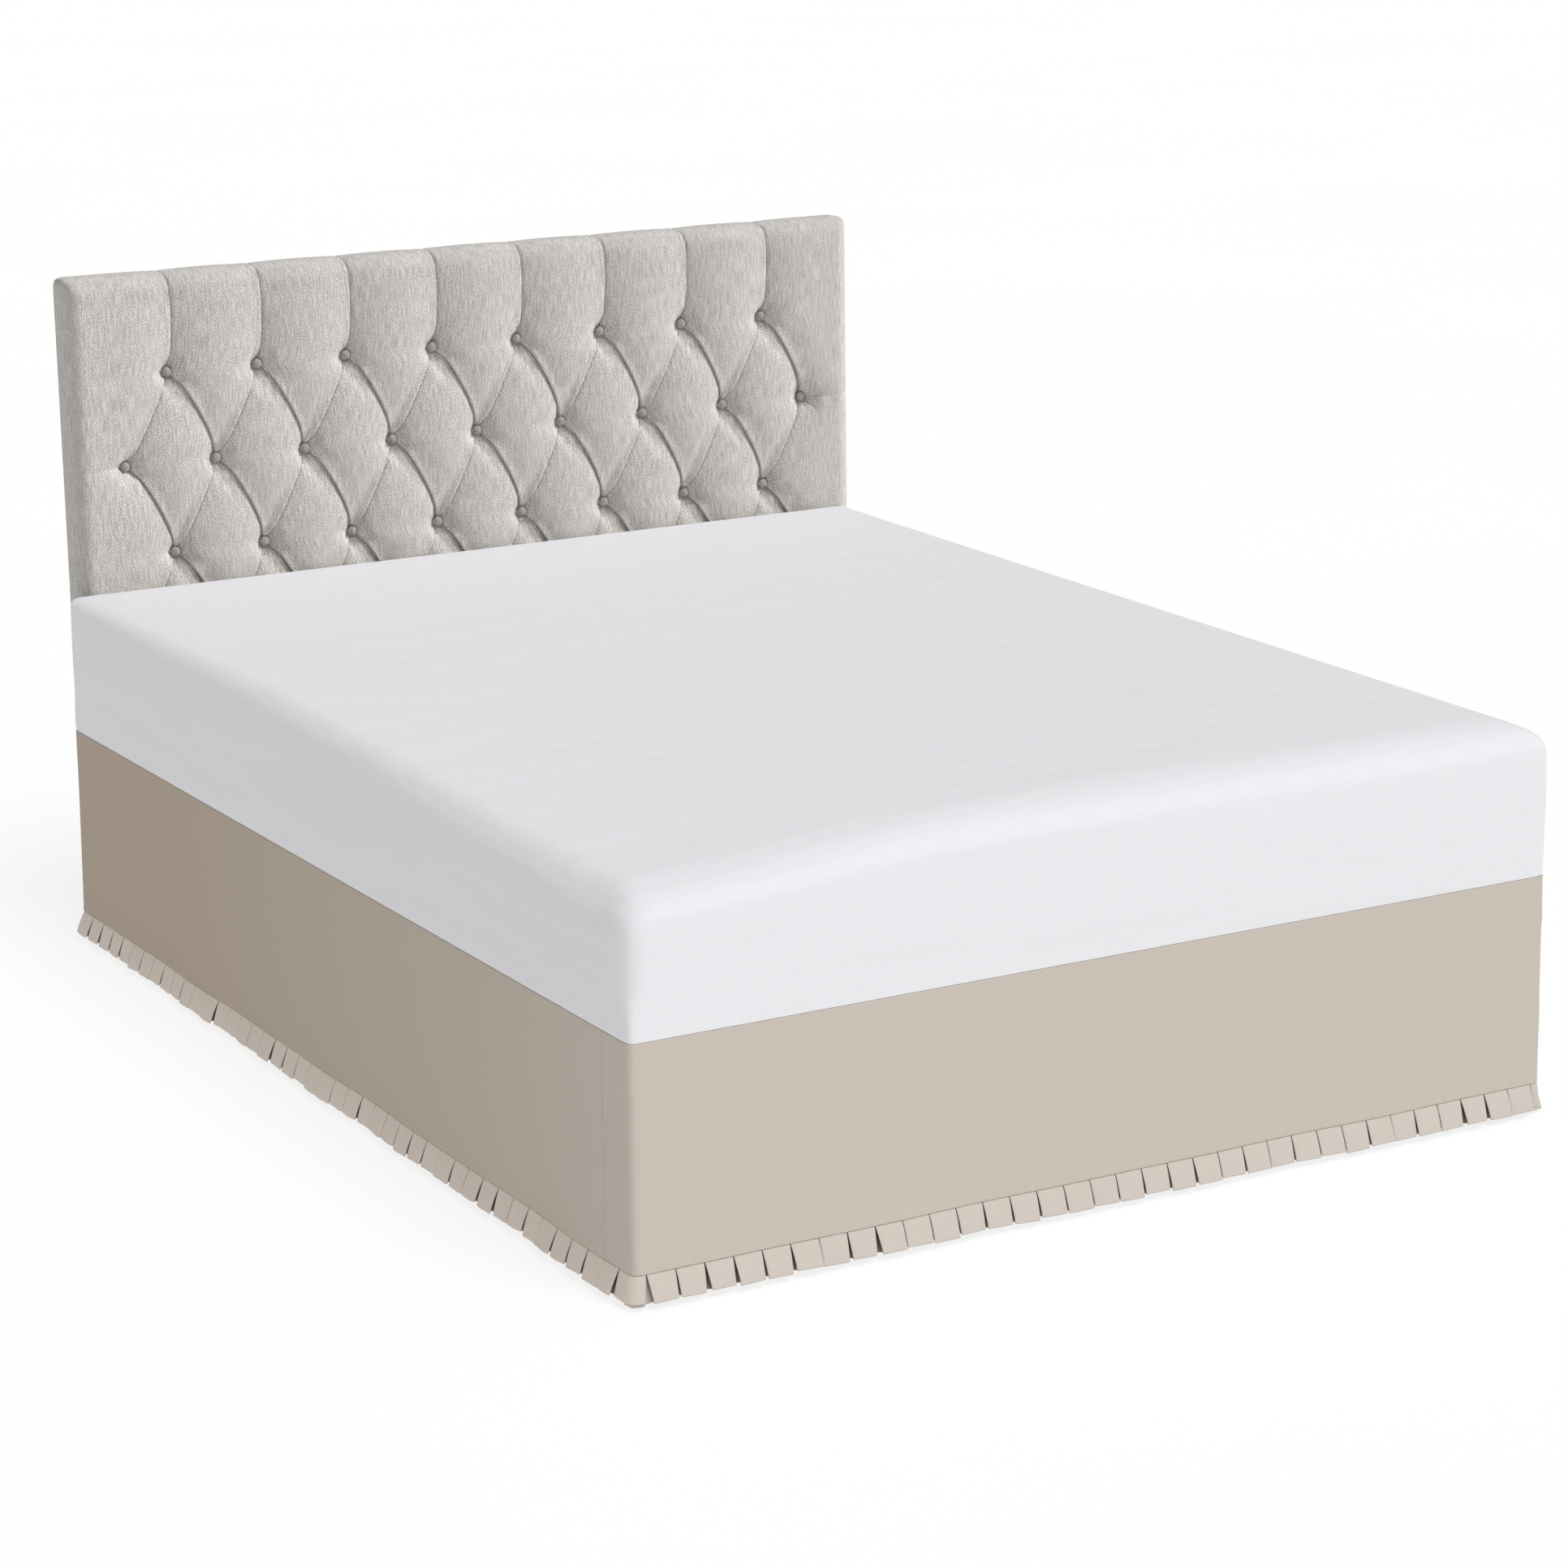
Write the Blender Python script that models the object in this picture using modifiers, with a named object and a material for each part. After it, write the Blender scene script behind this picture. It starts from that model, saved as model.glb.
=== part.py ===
"""A tailored bed skirt on the bed it fits.

The skirt is a flat deck that lies between the mattress and the base, with three smooth drop panels
sewn to its edges and a narrow box-pleated band sewn under the panels' hem.  The foot panel turns
both foot corners and meets the side panels in a vertical seam.  The bed is a mattress on an
upholstered base with six legs, and a button-tufted headboard that stands on the floor behind it.

Metres, +Z up.  X runs across the bed and Y along it, with the foot at -Y and the headboard at +Y.
The origin is on the floor, under the middle of the whole object.
"""

import math

import bmesh
import bpy

# ---------------------------------------------------------------- driving dimensions

FIT = 0.0003                    # clearance between pieces that touch

BED_WIDTH = 1.520               # queen mattress, 60 x 80 in
BED_LENGTH = 2.030
DECK_TOP = 0.367                # line where the mattress meets the skirt
MATTRESS_TOP = 0.600
SEAM_HEIGHT = 0.048             # line where the pleated band meets the panels
HEM_HEIGHT = 0.011              # lower edge of the pleated band, clear of the floor

CLOTH = 0.0014                  # panel cloth with its turned hem
BAND_CLOTH = 0.0012             # pleated band
DECK_CLOTH = 0.0012
SKIRT_INSET = 0.0017            # panel's middle surface, inside the mattress's side, at its top
PANEL_FLARE = 0.003             # how far the hem stands out past the panel's top
PANEL_WAVE = 0.0022             # height of the slow waves in the hem
PANEL_STEP = 0.075              # spacing of the panel's points along the bed
PANEL_ROWS = (0.0, 0.3, 0.65, 1.0)      # and down its drop
CORNER_RADIUS = 0.016           # foot corners of the skirt
HEAD_MARGIN = 0.002             # side panels end this far short of the mattress's head end
SEAM_FROM_CORNER = 0.078        # the foot panel turns the corner by this much

PLEAT_GAP = 0.0008              # half of the gap between two tabs at the seam
PLEAT_DEPTH = 0.0019            # from one layer of the pleat to the next at the seam
UNDERLAY_SHARE = 0.36           # how far the fold runs under a tab, as a share of its width
BAND_FLARE = 0.014              # how far the tabs stand out at their hem
BAND_UNEVEN = 0.0022            # how much that differs from tab to tab
CORNER_FLARE_SHARE = 0.80       # the corner tab and the folds behind the tabs stand out less
UNDERLAY_FLARE_SHARE = 0.45
HEM_UNEVEN = 0.0016             # how much the tabs' lower edges differ in height
UNDERLAY_DROP = 0.0025          # the hem behind the tabs ends higher, but lower at the corners
CORNER_TAB = 0.048              # the tab that turns the foot corner
SEAM_TAB = 0.040                # the tab between that one and the panel's seam

# How much more than at the seam the gap between two tabs opens at the hem: closed, a line,
# narrow, middling or wide; and how the gaps follow each other along the bed
GAP_OPENING = {"c": 0.0, "l": 0.0012, "n": 0.0030, "m": 0.0050, "w": 0.0080}
FOOT_GAPS = "l" "wnwmmmcmwc" "cnnnnlnlnn" "nlnllllncl" "lwwcn" "l"
LEFT_GAPS = "lwwwwcnccw" "ccwccnlnwn" "ccccncccwc" "cmnmmnnlmm" "m"

BASE_BOTTOM = 0.135
BASE_EDGE = 0.010
BASE_INSET = 0.012              # the base's side, inside the mattress's side
LEG_TOP_RADIUS = 0.028
LEG_FOOT_RADIUS = 0.020
LEG_FROM_SIDE = 0.100
LEG_FROM_END = 0.095

MATTRESS_TOP_EDGE = 0.042       # radii of the mattress's edges
MATTRESS_CORNER = 0.034
MATTRESS_LOWER_EDGE = 0.012

HEADBOARD_TOP = 1.130
HEADBOARD_WIDTH = 1.516
HEADBOARD_DEPTH = 0.056
HEADBOARD_SHIFT = 0.022         # the headboard stands this far to the right of the bed's middle
HEADBOARD_EDGE = 0.026          # radius of the pad's rolled front edge
EDGE_FACETS = 4
PAD_BOTTOM = 0.534
LOWER_PANEL_NARROWER = 0.009    # on each side
LOWER_PANEL_THINNER = 0.006
LOWER_PANEL_EDGE = 0.005

BUTTON_PITCH = 0.165            # across, within a row
BUTTON_ROW = 0.155              # from row to row
TOP_ROW_HEIGHT = 0.960
BUTTON_ROWS = 3
BUTTONS_IN_TOP_ROW = 8          # the rows hold 8, 9 and 8
BUTTON_RADIUS = 0.0082
BUTTON_CROWN = 0.0045
BUTTON_SHANK = 0.0045           # depth of its cone-shaped back
CREASE_DEPTH = 0.0120           # pleat lines between the buttons
BUTTON_PIT = 0.0060             # how much deeper the buttons are pulled

# ---------------------------------------------------------------- places worked out from them

HALF_WIDTH = BED_WIDTH / 2
HEADBOARD_GAP = 0.0004                          # between the mattress and the headboard
SKIRT_REACH = PANEL_FLARE + PANEL_WAVE + BAND_FLARE + BAND_UNEVEN + BAND_CLOTH / 2 - SKIRT_INSET
BED_Y = (SKIRT_REACH - HEADBOARD_GAP - HEADBOARD_DEPTH) / 2     # centres the whole object
FOOT_Y = BED_Y - BED_LENGTH / 2
HEAD_Y = BED_Y + BED_LENGTH / 2
SKIRT_X = HALF_WIDTH - SKIRT_INSET              # middle surface of the panels
SKIRT_FOOT_Y = FOOT_Y + SKIRT_INSET
SKIRT_HEAD_Y = HEAD_Y - HEAD_MARGIN
SIDE_LENGTH = SKIRT_HEAD_Y - (SKIRT_FOOT_Y + CORNER_RADIUS)
FOOT_LENGTH = 2 * (SKIRT_X - CORNER_RADIUS)
ARC_LENGTH = CORNER_RADIUS * math.pi / 2
SKIRT_LENGTH = 2 * SIDE_LENGTH + 2 * ARC_LENGTH + FOOT_LENGTH
LEFT_SEAM = SIDE_LENGTH + CORNER_RADIUS - SEAM_FROM_CORNER
RIGHT_SEAM = SKIRT_LENGTH - LEFT_SEAM
MIDDLE_ROW_HEIGHT = TOP_ROW_HEIGHT - BUTTON_ROW
HEADBOARD_FRONT = HEAD_Y + HEADBOARD_GAP
HEADBOARD_BACK = HEADBOARD_FRONT + HEADBOARD_DEPTH


# ---------------------------------------------------------------- scene and helpers

def clear_scene():
    for thing in list(bpy.data.objects):
        bpy.data.objects.remove(thing, do_unlink=True)


def make_collection(name):
    collection = bpy.data.collections.new(name)
    bpy.context.scene.collection.children.link(collection)
    return collection


def make_material(name, colour, roughness, metallic=0.0):
    material = bpy.data.materials.new(name)
    material.use_nodes = True
    shader = material.node_tree.nodes["Principled BSDF"]
    shader.inputs["Base Color"].default_value = (*colour, 1.0)
    shader.inputs["Roughness"].default_value = roughness
    shader.inputs["Metallic"].default_value = metallic
    return material


def add_object(name, mesh_shape, collection, material, smooth_angle=40.0):
    """Turn a bmesh into a named object with its material."""
    mesh = bpy.data.meshes.new(name)
    mesh_shape.to_mesh(mesh)
    mesh_shape.free()
    mesh.materials.append(material)
    mesh.shade_smooth()
    mesh.set_sharp_from_angle(angle=math.radians(smooth_angle))
    thing = bpy.data.objects.new(name, mesh)
    collection.objects.link(thing)
    return thing


def box_shape(low, high):
    shape = bmesh.new()
    bmesh.ops.create_cube(shape, size=1.0)
    for vertex in shape.verts:
        vertex.co = [a + (c + 0.5) * (b - a) for a, b, c in zip(low, high, vertex.co)]
    return shape


def add_bevel(thing, width, segments, by_weight=False):
    bevel = thing.modifiers.new("rounded edges", "BEVEL")
    bevel.width = width
    bevel.segments = segments
    bevel.limit_method = "WEIGHT" if by_weight else "ANGLE"


def cloth_grid(columns, rows, place):
    """A sheet of columns x rows points, each put where place(column, row) says."""
    shape = bmesh.new()
    bmesh.ops.create_grid(shape, x_segments=columns - 1, y_segments=rows - 1, size=0.5)
    for vertex in shape.verts:
        column = round((vertex.co.x + 0.5) * (columns - 1))
        row = round((vertex.co.y + 0.5) * (rows - 1))
        vertex.co = place(column, row)
    return shape


def add_cloth(name, columns, rows, place, thickness, collection, material):
    """A sheet of cloth with its thickness on both sides of the placed surface."""
    thing = add_object(name, cloth_grid(columns, rows, place), collection, material)
    solid = thing.modifiers.new("cloth thickness", "SOLIDIFY")
    solid.thickness = thickness
    solid.offset = 0.0
    solid.use_even_offset = True
    return thing


# ---------------------------------------------------------------- the line the skirt follows

def skirt_point(distance, outward, height):
    """A point along the skirt, counted from the left head end round the foot to the right."""
    first_arc = SIDE_LENGTH
    second_arc = SIDE_LENGTH + ARC_LENGTH + FOOT_LENGTH
    reach = CORNER_RADIUS + outward
    if distance <= first_arc:
        return (-SKIRT_X - outward, SKIRT_HEAD_Y - distance, height)
    if distance >= second_arc + ARC_LENGTH:
        run = distance - second_arc - ARC_LENGTH
        return (SKIRT_X + outward, SKIRT_FOOT_Y + CORNER_RADIUS + run, height)
    if first_arc + ARC_LENGTH <= distance <= second_arc:
        run = distance - first_arc - ARC_LENGTH
        return (-SKIRT_X + CORNER_RADIUS + run, SKIRT_FOOT_Y - outward, height)
    side = -1.0 if distance < second_arc else 1.0
    start = first_arc if side < 0 else second_arc
    turn = (distance - start) / CORNER_RADIUS
    if side > 0:
        turn = math.pi / 2 - turn
    x = side * (SKIRT_X - CORNER_RADIUS + reach * math.cos(turn))
    y = SKIRT_FOOT_Y + CORNER_RADIUS - reach * math.sin(turn)
    return (x, y, height)


def in_corner(distance):
    """Whether this place on the skirt's line is on one of the two foot corners."""
    from_left = distance - SIDE_LENGTH
    from_right = SKIRT_LENGTH - distance - SIDE_LENGTH
    return 0.0 < from_left < ARC_LENGTH or 0.0 < from_right < ARC_LENGTH


def stations(start, end, step, corner_step=CORNER_RADIUS / 3):
    """Places from start to end, step apart, and closer together round a foot corner."""
    left, right = SIDE_LENGTH, SKIRT_LENGTH - SIDE_LENGTH
    marks = [start, left, left + ARC_LENGTH, right - ARC_LENGTH, right, end]
    marks = sorted(mark for mark in marks if start <= mark <= end)
    places = [start]
    for low, high in zip(marks, marks[1:]):
        if high - low < 1e-9:
            continue
        size = corner_step if in_corner((low + high) / 2) else step
        count = max(1, round((high - low) / size))
        places += [low + (high - low) * k / count for k in range(1, count + 1)]
    return places


def panel_outward(distance, down):
    """How far the panel stands out, from 0 at its top to its waved hem at down = 1."""
    slow = 0.6 * math.sin(2 * math.pi * distance / 0.46 + 0.8)
    quick = 0.4 * math.sin(2 * math.pi * distance / 0.27 + 2.1)
    return PANEL_FLARE * down + PANEL_WAVE * (slow + quick) * down * down


# ---------------------------------------------------------------- skirt

def make_panel(name, start, end, collection, material):
    """One smooth drop panel, from the deck's edge down to its seam with the pleated band."""
    places = stations(start, end, step=PANEL_STEP)

    def place(column, row):
        down = PANEL_ROWS[row]
        out = panel_outward(places[column], down)
        return skirt_point(places[column], out, DECK_TOP - (DECK_TOP - SEAM_HEIGHT) * down)

    return add_cloth(name, len(places), len(PANEL_ROWS), place, CLOTH, collection, material)


def make_deck(collection, material):
    """The hidden flat cloth on the base; the panels are sewn to its edge."""
    edge = SKIRT_X - CLOTH / 2 - FIT
    foot = SKIRT_FOOT_Y + CLOTH / 2 + FIT
    low = (-edge, foot, DECK_TOP - DECK_CLOTH)
    high = (edge, SKIRT_HEAD_Y, DECK_TOP)
    shape = box_shape(low, high)
    corners = [e for e in shape.edges if all(v.co.y < 0 for v in e.verts)
               and abs(e.verts[0].co.z - e.verts[1].co.z) > DECK_CLOTH / 2]
    bmesh.ops.bevel(shape, geom=corners, offset=CORNER_RADIUS, segments=3, affect="EDGES",
                    profile=0.5)
    return add_object("deck", shape, collection, material)


def uneven(number, seed):
    """A steady stand-in for chance, from -1 to 1."""
    return math.sin(2.399 * number + seed) * math.cos(0.73 * number * seed + 0.4)


def band_tabs(start, end, gaps, ends=()):
    """The tabs of one band: where each starts and ends along the seam, and its two gaps."""
    widths = [0.0] * (len(gaps) + 1)
    free = len(widths) - 2 * len(ends)
    plain = (end - start - 2 * sum(ends)) / free
    for number in range(len(widths)):
        from_end = min(number, len(widths) - 1 - number)
        widths[number] = ends[from_end] if from_end < len(ends) else plain
    tabs, here = [], start
    for number, width in enumerate(widths):
        before = GAP_OPENING[gaps[number - 1]] if number else 0.0
        after = GAP_OPENING[gaps[number]] if number < len(gaps) else 0.0
        tabs.append({"start": here, "end": here + width, "before": before, "after": after,
                     "number": number, "corner": in_corner(here + width / 2)})
        here += width
    return tabs


def band_columns(tabs):
    """The folded line of the band: front, back under the tab, across below the gap, and out."""
    columns = []

    def add(tab, layer, distance, gap=0.0, side=0):
        columns.append({"tab": tab, "layer": layer, "distance": distance, "gap": gap,
                        "side": side})

    def run(tab, layer, low, high):
        for place in stations(low, high, step=1.0)[1:-1]:
            add(tab, layer, place)

    for number, tab in enumerate(tabs):
        under = UNDERLAY_SHARE * (tab["end"] - tab["start"])
        inner_left, inner_right = tab["start"] + under, tab["end"] - under
        add(tab, "middle", inner_left)
        add(tab, "middle", tab["start"], tab["before"], 1)
        add(tab, "front", tab["start"], tab["before"], 1)
        run(tab, "front", tab["start"], tab["end"])
        add(tab, "front", tab["end"], tab["after"], -1)
        add(tab, "middle", tab["end"], tab["after"], -1)
        add(tab, "middle", inner_right)
        if number < len(tabs) - 1:
            other = tabs[number + 1]
            inner_next = other["start"] + UNDERLAY_SHARE * (other["end"] - other["start"])
            add(tab, "back", inner_right)
            run(tab, "back", inner_right, inner_next)
            add(other, "back", inner_next)
    return columns


def band_point(column, down):
    """A point of the band, from the seam at down = 0 to the tab's hem at down = 1."""
    tab, layer = column["tab"], column["layer"]
    number = tab["number"]
    half_gap = PLEAT_GAP + column["gap"] / 2 * down
    distance = column["distance"] + column["side"] * half_gap
    flare = BAND_FLARE + BAND_UNEVEN * uneven(number, 1.7)
    rise = HEM_UNEVEN * uneven(number, 0.6)
    if tab["corner"]:
        flare, rise = CORNER_FLARE_SHARE * BAND_FLARE, 0.0
    step = {"front": 0.0, "middle": 1.0, "back": 2.0}[layer]
    if layer == "back":
        flare = UNDERLAY_FLARE_SHARE * BAND_FLARE
        rise = -UNDERLAY_DROP if tab["corner"] else UNDERLAY_DROP
    outward = panel_outward(column["distance"], 1.0) + flare * down - PLEAT_DEPTH * step
    top = SEAM_HEIGHT - 2 * FIT
    return skirt_point(distance, outward, top + (HEM_HEIGHT + rise - top) * down)


def make_band(name, tabs, collection, material):
    columns = band_columns(tabs)

    def place(column, row):
        return band_point(columns[column], float(row))

    return add_cloth(name, len(columns), 2, place, BAND_CLOTH, collection, material)


def make_skirt(collection):
    cloth = make_material("taupe cotton", (0.60, 0.53, 0.46), 0.9)
    lining = make_material("white deck cloth", (0.80, 0.80, 0.78), 0.9)
    make_deck(collection, lining)
    make_panel("panel_left", 0.0, LEFT_SEAM - FIT / 2, collection, cloth)
    make_panel("panel_foot", LEFT_SEAM + FIT / 2, RIGHT_SEAM - FIT / 2, collection, cloth)
    make_panel("panel_right", RIGHT_SEAM + FIT / 2, SKIRT_LENGTH, collection, cloth)
    ends = (SEAM_TAB, CORNER_TAB)
    left = band_tabs(0.0, LEFT_SEAM - PLEAT_GAP, LEFT_GAPS)
    foot = band_tabs(LEFT_SEAM + PLEAT_GAP, RIGHT_SEAM - PLEAT_GAP, FOOT_GAPS, ends)
    right = band_tabs(RIGHT_SEAM + PLEAT_GAP, SKIRT_LENGTH, LEFT_GAPS[::-1])
    make_band("band_left", left, collection, cloth)
    make_band("band_foot", foot, collection, cloth)
    make_band("band_right", right, collection, cloth)


# ---------------------------------------------------------------- mattress, base and legs

def make_mattress(collection):
    bottom = DECK_TOP + FIT
    low = (-HALF_WIDTH, FOOT_Y, bottom)
    high = (HALF_WIDTH, HEAD_Y, MATTRESS_TOP)
    shape = box_shape(low, high)
    weight = shape.edges.layers.float.new("bevel_weight_edge")
    middle = (bottom + MATTRESS_TOP) / 2
    for edge in shape.edges:
        above = [vertex.co.z > middle for vertex in edge.verts]
        radius = MATTRESS_CORNER
        if all(above):
            radius = MATTRESS_TOP_EDGE
        elif not any(above):
            radius = MATTRESS_LOWER_EDGE
        edge[weight] = radius / MATTRESS_TOP_EDGE
    white = make_material("white fitted sheet", (0.86, 0.86, 0.88), 0.85)
    thing = add_object("mattress", shape, collection, white)
    add_bevel(thing, MATTRESS_TOP_EDGE, 5, by_weight=True)


def make_base(collection):
    side = HALF_WIDTH - BASE_INSET
    low = (-side, FOOT_Y + BASE_INSET, BASE_BOTTOM)
    high = (side, HEAD_Y, DECK_TOP - DECK_CLOTH - FIT)
    grey = make_material("base cover", (0.62, 0.61, 0.59), 0.9)
    thing = add_object("base", box_shape(low, high), collection, grey)
    add_bevel(thing, BASE_EDGE, 2)
    wood = make_material("dark beech", (0.10, 0.06, 0.04), 0.5)
    across = HALF_WIDTH - LEG_FROM_SIDE
    along = BED_LENGTH / 2 - LEG_FROM_END
    places = [(x, y) for x in (-across, across) for y in (-along, along)]
    places += [(0.0, -along / 2), (0.0, along / 2)]
    for number, (x, y) in enumerate(places, start=1):
        height = BASE_BOTTOM - FIT
        shape = bmesh.new()
        bmesh.ops.create_cone(shape, cap_ends=True, segments=16, radius1=LEG_FOOT_RADIUS,
                              radius2=LEG_TOP_RADIUS, depth=height)
        leg = add_object(f"leg_{number}", shape, collection, wood)
        leg.location = (x, BED_Y + y, height / 2)


# ---------------------------------------------------------------- headboard

def crease(share):
    """1 on a pleat line, 0 halfway between two of them."""
    return max(0.0, 1.0 - 2.0 * abs(share)) ** 2


def to_nearest(value):
    return abs(value - round(value))


def tuft_depth(x, z):
    """How deep the tufted face lies below the crown of its diamonds."""
    across = (x - HEADBOARD_SHIFT) / BUTTON_PITCH
    up = (z - MIDDLE_ROW_HEIGHT) / BUTTON_ROW
    outer = BUTTONS_IN_TOP_ROW / 2
    if up >= 1.0:                                   # upright pleats above the top row
        fade = (z - TOP_ROW_HEIGHT) / (HEADBOARD_TOP - TOP_ROW_HEIGHT)
        beside = abs(across) - (outer - 0.5)
        share = beside if beside > 0 else to_nearest(across - 0.5)
        return CREASE_DEPTH * (2.0 - 1.1 * fade) * crease(share)
    zigzag = abs((up + 1.0) % 2.0 - 1.0)
    beside = abs(across) - (outer - 0.5 * zigzag)
    if beside > 0:                                  # plain border beyond the outer buttons
        return CREASE_DEPTH * (1.0 + crease(to_nearest(up))) * crease(beside)
    rising = to_nearest(across + up / 2)
    falling = to_nearest(across - up / 2)
    return CREASE_DEPTH * (crease(rising) + crease(falling))


def button_places():
    """Across and height of every button, row by row from the top."""
    places = []
    for row in range(BUTTON_ROWS):
        count = BUTTONS_IN_TOP_ROW + row % 2
        for number in range(count):
            x = HEADBOARD_SHIFT + (number - (count - 1) / 2) * BUTTON_PITCH
            places.append((x, TOP_ROW_HEIGHT - row * BUTTON_ROW))
    return places


def rolled_edge(distance):
    """How far the pad's front edge has rolled back at this distance from its outline."""
    inside = max(0.0, HEADBOARD_EDGE - distance)
    return HEADBOARD_EDGE - math.sqrt(HEADBOARD_EDGE ** 2 - inside ** 2)


def make_pad(collection, material):
    """The tufted pad: a front of small facets with an edge along every pleat line."""
    step_x, step_z = BUTTON_PITCH / 8, BUTTON_ROW / 4
    half = HEADBOARD_WIDTH / 2
    bottom = PAD_BOTTOM + FIT
    count_x = int((half - HEADBOARD_EDGE) / step_x)
    below = int((TOP_ROW_HEIGHT - bottom) / step_z)
    above = int((HEADBOARD_TOP - HEADBOARD_EDGE - TOP_ROW_HEIGHT) / step_z)
    turns = [math.radians(90.0 * k / EDGE_FACETS) for k in range(EDGE_FACETS + 1)]
    roll = [HEADBOARD_EDGE * (1.0 - math.sin(turn)) for turn in turns]
    right = [k * step_x for k in range(1, count_x + 1)] + [half - inward for inward in roll]
    offsets = [-offset for offset in reversed(right)] + [0.0] + right
    heights = [bottom] + [TOP_ROW_HEIGHT + k * step_z for k in range(-below, above + 1)]
    heights += [HEADBOARD_TOP - inward for inward in roll]
    pits = {(round(x, 4), round(z, 4)) for x, z in button_places()}

    def place(column, row):
        x, z = HEADBOARD_SHIFT + offsets[column], heights[row]
        to_side = half - abs(offsets[column])
        back = rolled_edge(min(to_side, HEADBOARD_TOP - z))
        depth = tuft_depth(x, z) * (1.0 - back / HEADBOARD_EDGE)
        if (round(x, 4), round(z, 4)) in pits:
            depth += BUTTON_PIT
        return (x, HEADBOARD_FRONT + back + depth, z)

    shape = cloth_grid(len(offsets), len(heights), place)
    for face in list(shape.faces):                  # fold each facet along its deeper diagonal
        a, b, c, d = face.verts
        pair = (a, c) if a.co.y + c.co.y > b.co.y + d.co.y else (b, d)
        bmesh.utils.face_split(face, *pair)
    front = list(shape.faces)
    shell = bmesh.ops.extrude_face_region(shape, geom=front)["geom"]
    back_faces = [item for item in shell if isinstance(item, bmesh.types.BMFace)]
    for vertex in (item for item in shell if isinstance(item, bmesh.types.BMVert)):
        vertex.co.y = HEADBOARD_BACK
    bmesh.ops.dissolve_faces(shape, faces=back_faces, use_verts=True)
    bmesh.ops.recalc_face_normals(shape, faces=shape.faces)
    return add_object("headboard_pad", shape, collection, material, smooth_angle=60.0)


def make_buttons(collection, material):
    """Covered buttons, each seated in its pit: a low crown on a cone-shaped back."""
    beside = BUTTON_PITCH / 8
    for number, (x, z) in enumerate(button_places(), start=1):
        pit = tuft_depth(x, z) + BUTTON_PIT
        slope = (pit - tuft_depth(x + beside, z)) / beside
        rim = pit - slope * BUTTON_RADIUS - FIT
        profile = [(0.0, BUTTON_CROWN), (0.6, 0.8 * BUTTON_CROWN), (1.0, 0.25 * BUTTON_CROWN),
                   (1.0, 0.0), (0.0, -min(BUTTON_SHANK, pit - rim - FIT))]
        shape = bmesh.new()
        points = [shape.verts.new((share * BUTTON_RADIUS, 0.0, up)) for share, up in profile]
        edges = [shape.edges.new(pair) for pair in zip(points, points[1:])]
        bmesh.ops.spin(shape, geom=points + edges, cent=(0, 0, 0), axis=(0, 0, 1),
                       angle=2 * math.pi, steps=10, use_merge=True)
        bmesh.ops.remove_doubles(shape, verts=shape.verts, dist=1e-5)
        bmesh.ops.recalc_face_normals(shape, faces=shape.faces)
        button = add_object(f"button_{number:02d}", shape, collection, material)
        button.rotation_euler = (math.pi / 2, 0.0, 0.0)
        button.location = (x, HEADBOARD_FRONT + rim, z)


def make_headboard(collection):
    linen = make_material("pale grey linen", (0.58, 0.56, 0.54), 0.9)
    half = HEADBOARD_WIDTH / 2 - LOWER_PANEL_NARROWER
    low = (HEADBOARD_SHIFT - half, HEADBOARD_FRONT, 0.0)
    high = (HEADBOARD_SHIFT + half, HEADBOARD_BACK - LOWER_PANEL_THINNER, PAD_BOTTOM)
    panel = add_object("headboard_lower_panel", box_shape(low, high), collection, linen)
    add_bevel(panel, LOWER_PANEL_EDGE, 2)
    make_pad(collection, linen)
    make_buttons(collection, linen)


def main():
    clear_scene()
    collection = make_collection("bed_skirt_on_bed")
    make_skirt(collection)
    make_mattress(collection)
    make_base(collection)
    make_headboard(collection)


main()
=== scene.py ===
# %% [markdown]
# # A tailored bed skirt on its bed
# This lesson dresses a bed in Blender. The object is a bed skirt: smooth drop panels that hang from a
# hidden deck under the mattress, with a narrow band of box pleats sewn under their hem. The bed it
# fits stands with it: a mattress in a white sheet, a base on legs and a button-tufted headboard.
#
# The solids were made in CAD and come in as a fixed frame. Each step below replaces a plain solid by
# a finer piece in the same place, or gives a solid its finish.

# %% Load the frame
import math

import bpy
import numpy as np
from mathutils import Matrix, Vector


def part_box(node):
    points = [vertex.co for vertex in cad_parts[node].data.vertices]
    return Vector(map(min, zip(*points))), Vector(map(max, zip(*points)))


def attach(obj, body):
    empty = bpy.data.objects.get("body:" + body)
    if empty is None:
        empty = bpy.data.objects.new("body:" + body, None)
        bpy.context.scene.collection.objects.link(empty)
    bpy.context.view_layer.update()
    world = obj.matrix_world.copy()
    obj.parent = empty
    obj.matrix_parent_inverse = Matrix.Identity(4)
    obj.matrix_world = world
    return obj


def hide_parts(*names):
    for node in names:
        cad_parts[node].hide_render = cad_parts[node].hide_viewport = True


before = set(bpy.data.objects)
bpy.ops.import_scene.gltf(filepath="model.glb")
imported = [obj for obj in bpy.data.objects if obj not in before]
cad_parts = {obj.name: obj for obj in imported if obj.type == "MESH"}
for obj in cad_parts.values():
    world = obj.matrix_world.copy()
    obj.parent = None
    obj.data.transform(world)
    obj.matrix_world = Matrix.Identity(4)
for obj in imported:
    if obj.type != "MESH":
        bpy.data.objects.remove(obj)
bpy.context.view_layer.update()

# %% [markdown]
# ## The camera
# A product photograph like this is taken from far away with a long lens, so that the bed's edges stay
# nearly parallel. Place, direction and lens below were worked out from the corners of the bed, whose
# real size is known. A camera looks along its own -Z, so its matrix is built from three arrows:
# to its right, up, and backwards.

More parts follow.
